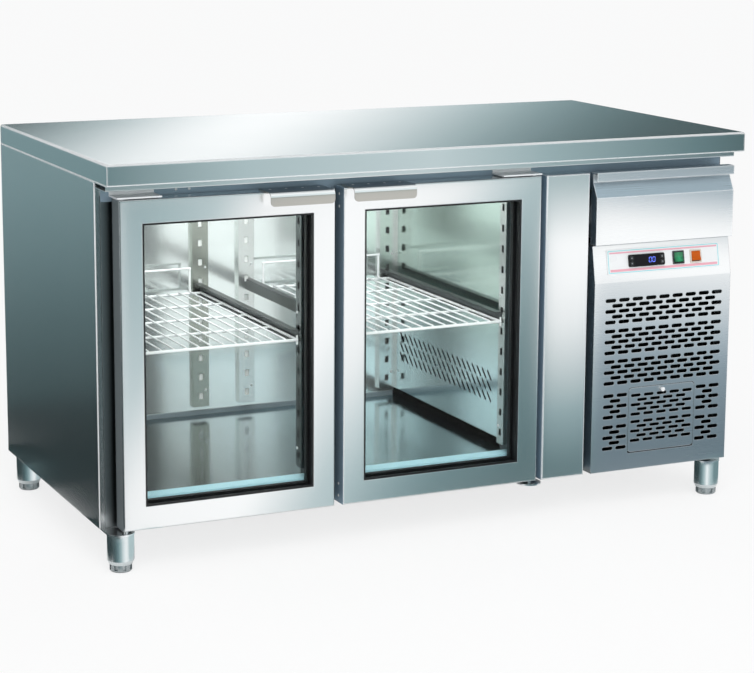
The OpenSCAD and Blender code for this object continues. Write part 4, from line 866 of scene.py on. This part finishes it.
# Strokes of a zero: column and row where each starts and ends, with row 0 in the middle
ZERO_STROKES = ((0, 1, 1, 1), (1, 0, 1, 1), (1, -1, 1, 0), (0, -1, 1, -1), (0, -1, 0, 0), (0, 0, 0, 1))
DIGITS_U = (5.0, 13.4)
DIGIT_W, DIGIT_H = 5.6, 4.9
STROKE_W = 1.0
STROKE_GAP = 0.55
STROKE_POINT = 0.8
SLANT = 0.12
WINDOW = {"half_u": 28.2, "half_v": 9.8, "r": 1.0}

# Heights over the screen's face
WINDOW_LAYER = (0.02, 0.16)
DIGIT_LAYER = (0.18, 0.3)


def stroke_outline(c0, r0, c1, r1):
    """Bar with pointed ends between two grid points of a digit."""
    a = Vector((c0 * DIGIT_W, r0 * DIGIT_H))
    b = Vector((c1 * DIGIT_W, r1 * DIGIT_H))
    along = (b - a).normalized()
    side = Vector((-along.y, along.x)) * STROKE_W / 2
    tip = along * STROKE_POINT * STROKE_W / 2
    a += along * STROKE_GAP
    b -= along * STROKE_GAP
    return [a - tip, a + side, b + side, b + tip, b - side, a - side]


def display():
    """Two lit digits over a dark window."""
    window_ends = [SCREEN_FACE + h for h in WINDOW_LAYER]
    digit_ends = [SCREEN_FACE + h for h in DIGIT_LAYER]
    bm = bmesh.new()
    for u0 in DIGITS_U:
        for stroke in ZERO_STROKES:
            points = [(CONTROLLER_U + u0 + p.x + SLANT * p.y, p.y) for p in stroke_outline(*stroke)]
            prism(bm, points, on_tilt, *digit_ends)
    piece("display_digits", bm, "digit", "cabinet")
    outline = rounded(**WINDOW, middle=CONTROLLER_U)
    strip("display_window", outline, on_tilt, window_ends, "screen", "cabinet")


KEY_U, KEY_V = 36.05, 5.55
MARK_SUNK, MARK_PROUD = 0.05, 0.12
MARK_BOTTOM = KEY_FACE - MARK_SUNK
MARK_TOP = KEY_FACE + MARK_PROUD
MARK_HOLE = 0.6
CIRCLE_R = 1.7
CIRCLE_POINTS = 16
CIRCLE_TURNS = [2 * math.pi * i / CIRCLE_POINTS for i in range(CIRCLE_POINTS)]
MARKS = {
    "upper_left": [(-1.8, -1.1), (1.8, -1.1), (0.0, 1.7)],
    "lower_left": [(-1.8, 1.1), (0.0, -1.7), (1.8, 1.1)],
    "upper_right": [(CIRCLE_R * math.cos(t), CIRCLE_R * math.sin(t)) for t in CIRCLE_TURNS],
    "lower_right": [(-1.5, -1.5), (1.5, -1.5), (1.5, 1.5), (-1.5, 1.5)],
}


def key_marks():
    """Full arrows on the left keys, a ring and a square ring on the right ones."""
    for name, points in MARKS.items():
        row, side = name.split("_")
        u = CONTROLLER_U + (KEY_U if side == "right" else -KEY_U)
        v = KEY_V if row == "upper" else -KEY_V
        outer = [(u + a, v + b) for a, b in points]
        bm = bmesh.new()
        if side == "left":
            prism(bm, outer, on_tilt, MARK_BOTTOM, MARK_TOP)
        else:
            inner = [(u + MARK_HOLE * a, v + MARK_HOLE * b) for a, b in points]
            frame_ring(bm, outer, inner, on_tilt, MARK_BOTTOM, MARK_TOP)
        piece(name + "_mark", bm, "mark", name + "_button")


# Thin trim: outlines and the places where it starts and ends

SKIRTING = ((300.0, 122.2), (297.0, 122.2), (297.0, 131.0), (298.2, 132.6), (300.0, 132.6))
SKIRTING_X = (-624.0, 196.0)
COVER_TRIM = ((193.0, 288.0), (193.0, 286.8), (195.7, 286.8), (195.7, 274.0), (196.9, 274.0),
              (196.9, 288.0))
COVER_TRIM_Z = (142.0, 652.0)
SLOT_LIGHT = ((290.4, 146.0), (291.4, 146.0), (291.4, 648.0), (290.4, 648.0))
SLOT_LIGHT_X = (-267.0, -161.0)
SLOT_LIGHT_HALF_W = 9.0
HEADER_RETURN = ((-273.0, 700.0), (-273.0, 658.0), (-265.0, 658.0), (-265.0, 659.2), (-271.8, 659.2),
                 (-271.8, 700.0))
HEADER_RETURN_X = (341.0, 672.6)
DRAWER_RETURN = ((-303.0, 552.0), (-274.5, 552.0), (-274.5, 686.0), (-279.0, 690.0), (-303.0, 690.0))
DRAWER_RETURN_X = (672.8, 674.0)


def skirting():
    """Strip along the foot of the chamber's back wall."""
    strip("back_skirting", SKIRTING, along_x, SKIRTING_X, "skirting", "cabinet")


def cover_trim():
    """Angle strip over the slit between the right rear pilaster and the evaporator cover."""
    strip("cover_trim", COVER_TRIM, along_z, COVER_TRIM_Z, "pilaster", "cabinet")


def pilaster_slot_light():
    """Pale strips behind the slots of the two rear pilasters on either side of the mullion, as painted
    light seen through the slots.
    """
    bm = bmesh.new()
    for x in SLOT_LIGHT_X:
        prism(bm, SLOT_LIGHT, along_x, x - SLOT_LIGHT_HALF_W, x + SLOT_LIGHT_HALF_W)
    piece("pilaster_slot_light", bm, "slot_light", "cabinet")


def header_return():
    """Folded strip that hangs from the header and closes the slit over the drawer; its blue-grey is painted
    shade.
    """
    strip("header_return", HEADER_RETURN, along_x, HEADER_RETURN_X, "header", "cabinet")


def drawer_return():
    """Right flange of the drawer front, which reaches back to the side panel."""
    strip("drawer_return", DRAWER_RETURN, along_x, DRAWER_RETURN_X, "fascia", "drawer")


# Stage: floor and light

FLOOR_HALF = 30.0
FLOOR_Z = -0.0003
PAPER_GRAIN = 40.0
PAPER_DARK = (0.965, 0.965, 0.965)
PAPER_LIGHT = (0.975, 0.975, 0.975)
PAPER_WHITE = 0.75


def level(x, y, z):
    """Corners of a level rectangle; x and y are pairs, and the first corner is at their starts."""
    return [(x[0], y[0], z), (x[1], y[0], z), (x[1], y[1], z), (x[0], y[1], z)]


def upright(x, y, z):
    """Corners of an upright rectangle; x and z are pairs, and the first corner is at their starts."""
    return [(x[0], y, z[0]), (x[1], y, z[0]), (x[1], y, z[1]), (x[0], y, z[1])]


def stage_plane(name, corners, mat):
    bm = bmesh.new()
    bm.faces.new([bm.verts.new(c) for c in corners])
    obj = new_object(name, new_mesh(name, bm))
    obj.data.materials.append(mat)
    return obj


def floor():
    """White paper that keeps a pale shadow where the camera sees it."""
    m = Nodes("floor_paper")
    m.set(Roughness=0.9, Specular_IOR_Level=0.0)
    m.feed(m.mix(m.noise(PAPER_GRAIN, detail=3.0), PAPER_DARK, PAPER_LIGHT), "Base Color")
    white = m.add("ShaderNodeEmission")
    path = m.add("ShaderNodeLightPath")
    seen = m.math("MULTIPLY", path.outputs["Is Camera Ray"], PAPER_WHITE)
    m.blend(seen, m.bsdf.outputs["BSDF"], white.outputs["Emission"], m.out)
    across = (-FLOOR_HALF, FLOOR_HALF)
    stage_plane("floor", level(across, across, FLOOR_Z), m.mat)


SKY_COLOR = (0.97, 0.985, 1.0, 1.0)
SKY_STRENGTH = 0.58
WHITE = (1.0, 1.0, 1.0, 1.0)


def world():
    """White where the camera, mirrors and glass see it, and a softer light on everything else."""
    studio = bpy.data.worlds.new("studio")
    scene.world = studio
    studio.use_nodes = True
    t = Tree(studio.node_tree)
    t.tree.nodes.clear()
    path = t.add("ShaderNodeLightPath").outputs
    seen = t.either(path["Is Camera Ray"], path["Is Glossy Ray"])
    seen = t.either(seen, path["Is Transmission Ray"])
    shaders = []
    for color, strength in ((SKY_COLOR, SKY_STRENGTH), (WHITE, 1.0)):
        node = t.add("ShaderNodeBackground")
        node.inputs["Color"].default_value = color
        node.inputs["Strength"].default_value = strength
        shaders.append(node.outputs["Background"])
    t.blend(seen, *shaders, t.add("ShaderNodeOutputWorld"))


SUN_ENERGY = 1.1
SUN_ANGLE = 50.0
SUN_COLOR = (1.0, 0.995, 0.985)
SUN_WAY = (0.25, 0.62, -0.75)
FRONT_FILL_AT = (-1.0, -4.6, 1.3)
FRONT_FILL_AIM = (0.0, 0.0, 0.4)
CHAMBER_FILL_AT = (-0.21, 0.02, 0.66)


def shine_along(obj, direction):
    obj.rotation_euler = Vector(direction).to_track_quat("-Z", "Y").to_euler()


def sun():
    light = bpy.data.lights.new("sun", "SUN")
    light.energy = SUN_ENERGY
    light.angle = math.radians(SUN_ANGLE)
    light.color = SUN_COLOR
    shine_along(new_object("sun", light), SUN_WAY)


def fill_lamp(name, width, length, energy, at):
    """Soft lamp that is seen in nothing, and shines down unless it is turned."""
    light = bpy.data.lights.new(name, "AREA")
    light.shape = "RECTANGLE"
    light.size = width
    light.size_y = length
    light.energy = energy
    obj = new_object(name, light)
    obj.location = at
    hide_from(obj, "camera", "glossy", "transmission")
    return obj


def fill_lamps():
    """One lamp beside the camera for the chamber behind the glass, and a weak one under its ceiling."""
    front = fill_lamp("front_fill", width=2.4, length=1.2, energy=50.0, at=FRONT_FILL_AT)
    shine_along(front, Vector(FRONT_FILL_AIM) - front.location)
    fill_lamp("chamber_fill", width=0.78, length=0.4, energy=3.2, at=CHAMBER_FILL_AT)


# Studio cards: what the metal mirrors

TEAL = (0.58, 0.94, 1.0)
COOL = (0.60, 0.84, 1.0)
TINTED_BELOW = 0.2
TINT_SPAN = 0.7
# Steel then shows each grey about as it is written
CARD_STRENGTH = 1.0 / STEEL[1]


def tone(value, tint):
    """Grey of a studio card: tinted where it is dark, neutral where it is bright."""
    k = min(1.0, max(0.0, (value - TINTED_BELOW) / TINT_SPAN))
    return tuple(value * (t + (1.0 - t) * k) for t in tint)


def card(name, corners, direction, tones, tint=TEAL):
    """A studio card that only mirror-like surfaces see.

    Its grey runs along direction from the first corner: tones are (distance in metres, grey).
    """
    m = Nodes(name)
    start = Vector(direction).dot(Vector(corners[0]))
    first, last = tones[0][0], tones[-1][0]
    place = m.dot(m.add("ShaderNodeTexCoord").outputs["Object"], direction)
    along = m.ranged(place, 0.0, 1.0, start + first, start + last)
    ramp = m.add("ShaderNodeValToRGB")
    elements = ramp.color_ramp.elements
    while len(elements) < len(tones):
        elements.new(1.0)
    for element, (at, value) in zip(elements, tones):
        element.position = (at - first) / (last - first)
        element.color = (*tone(value, tint), 1.0)
    m.link(along, ramp.inputs["Fac"])
    light = m.add("ShaderNodeEmission")
    light.inputs["Strength"].default_value = CARD_STRENGTH
    m.link(ramp.outputs["Color"], light.inputs["Color"])
    m.link(light.outputs["Emission"], m.out.inputs["Surface"])
    obj = stage_plane(name, corners, m.mat)
    hide_from(obj, "camera", "diffuse", "transmission", "volume_scatter", "shadow")


# Cards of the front: the panel's plane, its reach in X and Z, and the tones from its upper left corner
FRONT_CARD_Y = -0.45
JAMB_Y = -0.273
JAMB_CARD_Y = -0.34
JAMB_X = (-0.75, -0.6665)
JAMB_Z = (0.1, 0.73)
JAMB_TONES = ((0.0, 0.1), (0.4, 0.07), (0.73, 0.035))
HANDLE_CARD_Y = -0.34
HANDLE_CARD_Z = (0.698, 0.672)
HANDLE_TONES = ((0.0, 0.9), (0.03, 0.95))
DOOR_Y = -0.325
DOOR_Z = (0.0, 0.7)
LEFT_DOOR_X = (-0.652, -0.214)
LEFT_DOOR_WAY = (1.0, 0.0, -0.5)
LEFT_DOOR_TONES = ((0.0, 0.38), (0.14, 0.5), (0.21, 0.57), (0.31, 0.9), (0.43, 0.94), (0.56, 0.97),
                   (0.72, 0.56))
RIGHT_DOOR_X = (-0.214, 0.228)
RIGHT_DOOR_WAY = (1.0, 0.0, -0.7)
RIGHT_DOOR_TONES = ((0.0, 0.98), (0.2, 0.94), (0.28, 0.88), (0.36, 0.7), (0.45, 0.5), (0.55, 0.35),
                    (0.64, 0.25), (0.83, 0.17))
POST_X = (0.228, 0.347)
POST_TONES = ((0.0, 0.42), (0.14, 0.98), (0.22, 0.96), (0.31, 0.86), (0.5, 0.4), (0.62, 0.19))
BAY_X = (0.347, 0.9)
BAY_WAY = (-0.12, 0.0, -1.0)
BAY_TONES = ((-0.06, 0.4), (0.016, 0.44), (0.05, 0.66), (0.09, 0.9), (0.12, 1.0), (0.15, 1.0),
             (0.19, 0.85), (0.33, 0.51), (0.4, 0.33), (0.56, 0.21))
EDGE_Y = -0.35
EDGE_X = (-0.9, 0.9)
EDGE_Z = (0.703, 0.85)
EDGE_TONES = ((0.2, 0.22), (0.5, 0.52), (0.9, 0.62), (1.15, 0.43), (1.5, 0.22), (1.65, 0.14))


def front_card(name, face_y, x, z, direction, tones, card_y=FRONT_CARD_Y, tint=TEAL):
    """A card close before a panel of the front, where the camera sees it in that panel."""
    t = (face_y - card_y) / (face_y - EYE.y)
    seen_x = [c + t * (c - EYE.x) for c in x]
    seen_z = [c + t * (c - EYE.z) for c in z]
    card(name, upright(seen_x, card_y, seen_z[::-1]), direction, tones, tint)


def front_cards():
    front_card("card_jamb", JAMB_Y, JAMB_X, JAMB_Z, DOWN, JAMB_TONES, JAMB_CARD_Y)
    for side, x in HANDLE_X.items():
        reach = (x * MM, (x + HANDLE_W) * MM)
        card("card_" + side + "_handle", upright(reach, HANDLE_CARD_Y, HANDLE_CARD_Z), DOWN, HANDLE_TONES)
    front_card("card_left_door", DOOR_Y, LEFT_DOOR_X, DOOR_Z, LEFT_DOOR_WAY, LEFT_DOOR_TONES)
    front_card("card_right_door", DOOR_Y, RIGHT_DOOR_X, DOOR_Z, RIGHT_DOOR_WAY, RIGHT_DOOR_TONES)
    front_card("card_post", DOOR_Y, POST_X, DOOR_Z, DOWN, POST_TONES)
    front_card("card_bay", DOOR_Y, BAY_X, DOOR_Z, BAY_WAY, BAY_TONES, tint=COOL)
    front_card("card_edge", EDGE_Y, EDGE_X, EDGE_Z, RIGHT, EDGE_TONES)


# Cards round the object, for its side, its top and the floor that it mirrors
LEFT_X = (-3.2, -0.72)
LEFT_Y = 1.0
LEFT_Z = (-0.2, 0.85)
LEFT_TONES = ((0.1, 0.04), (0.4, 0.12), (0.75, 0.26), (1.05, 0.3))
LOW_Z = 0.004
LEFT_FLOOR_X = (-3.2, -0.74)
LEFT_FLOOR_Y = (-0.9, 1.0)
LEFT_FLOOR_TONES = ((0.0, 0.02), (1.9, 0.03))
BACK_FLOOR_X = (-0.66, 2.5)
BACK_FLOOR_Y = (0.45, 3.2)
BACK_FLOOR_TONES = ((0.0, 0.3), (0.5, 0.5), (1.3, 0.72), (2.6, 0.9))
RIGHT_FLOOR_X = (0.75, 3.2)
RIGHT_FLOOR_Y = (-2.0, 2.0)
RIGHT_FLOOR_TONES = ((0.0, 0.3), (0.5, 0.5), (1.2, 0.72), (2.4, 0.9))
CEILING_X = (-1.8, 1.8)
CEILING_Y = (0.0, 2.4)
CEILING_Z = 3.6
CEILING_TONES = ((0.0, 0.6), (1.0, 0.86), (1.6, 0.94), (2.2, 0.86), (3.6, 0.5))
REAR_X = (-0.6, 4.4)
REAR_Y = 2.5
REAR_Z = (0.5, 2.2)
REAR_WAY = (1.0, 0.0, 2.0)
REAR_TONES = ((1.41, 0.0), (1.69, 0.12), (1.83, 0.26), (1.98, 0.44), (2.13, 0.72), (2.28, 0.96),
              (2.42, 1.05), (2.58, 1.0), (2.88, 0.8), (3.18, 0.56), (3.5, 0.34), (3.84, 0.18), (4.26, 0.08))


def cards_around():
    card("card_left", upright(LEFT_X, LEFT_Y, LEFT_Z), UP, LEFT_TONES)
    card("card_left_floor", level(LEFT_FLOOR_X, LEFT_FLOOR_Y, LOW_Z), BACK, LEFT_FLOOR_TONES)
    card("card_back_floor", level(BACK_FLOOR_X, BACK_FLOOR_Y, LOW_Z), BACK, BACK_FLOOR_TONES)
    card("card_right_floor", level(RIGHT_FLOOR_X, RIGHT_FLOOR_Y, LOW_Z), RIGHT, RIGHT_FLOOR_TONES)
    card("card_ceiling", level(CEILING_X, CEILING_Y, CEILING_Z), RIGHT, CEILING_TONES)
    card("card_back", upright(REAR_X, REAR_Y, REAR_Z), REAR_WAY, REAR_TONES)


# Cards of the legs: tones are (place across the leg as the camera sees it, grey), from left to right
LEG_R = 0.0255
LEG_AHEAD = 0.045
LEG_BACK = 0.3
LEG_Z = (0.062, 0.001)
LEFT_LEG = ((-0.58, 0.066), (-0.38, 0.11), (-0.19, 0.22), (0.0, 0.4), (0.19, 0.72), (0.38, 0.9),
            (0.58, 0.72))
RIGHT_LEG = ((-0.58, 0.08), (-0.42, 0.17), (-0.25, 0.37), (-0.08, 0.6), (0.08, 0.95), (0.25, 0.68),
             (0.42, 0.5), (0.58, 0.36))
LEFT_WING = 0.05
RIGHT_WINGS = {"left": 0.55, "right": 0.26}


def leg_wall(name, a, b, direction, tones):
    """Low upright card from a to b."""
    corners = [(*a, LEG_Z[0]), (*a, LEG_Z[1]), (*b, LEG_Z[1]), (*b, LEG_Z[0])]
    card(name, corners, (*direction, 0.0), tones)


def leg_cards(leg, tones, left_wing, right_wing):
    """Low cards round a leg: one across the view before it, and a wing on each side."""
    low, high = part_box(leg + "_foot")
    centre = Vector(((low[0] + high[0]) / 2, (low[1] + high[1]) / 2))
    look = (centre - EYE.xy).normalized()
    right = Vector((look.y, -look.x))
    stops = []
    for across, grey in tones:
        turn = math.asin(across)
        gap = LEG_AHEAD - LEG_R * math.cos(turn)
        stops.append((LEG_R * across + gap * math.tan(2 * turn), grey))
    start, end = stops[0][0], stops[-1][0]
    front_left = centre + start * right - LEG_AHEAD * look
    front_right = centre + end * right - LEG_AHEAD * look
    back = (LEG_AHEAD + LEG_BACK) * look
    name = "card_" + leg + "_leg"
    leg_wall(name, front_left, front_right, right, [(at - start, grey) for at, grey in stops])
    for side, corner, grey in (("_left", front_left, left_wing), ("_right", front_right, right_wing)):
        leg_wall(name + side, corner, corner + back, look, [(0.0, grey), (LEG_BACK, grey)])


def all_leg_cards():
    for side, tones in (("left", LEFT_LEG), ("right", RIGHT_LEG)):
        for end in ("front_", "rear_"):
            leg_cards(end + side, tones, LEFT_WING, RIGHT_WINGS[side])


add_camera()
dress_nodes()
overlay_design()
display()
key_marks()
door_screws()
cabinet_screws()
back_screws()
skirting()
cover_trim()
pilaster_slot_light()
header_return()
drawer_return()
floor()
world()
sun()
fill_lamps()
front_cards()
cards_around()
all_leg_cards()

scene.view_settings.view_transform = "Standard"
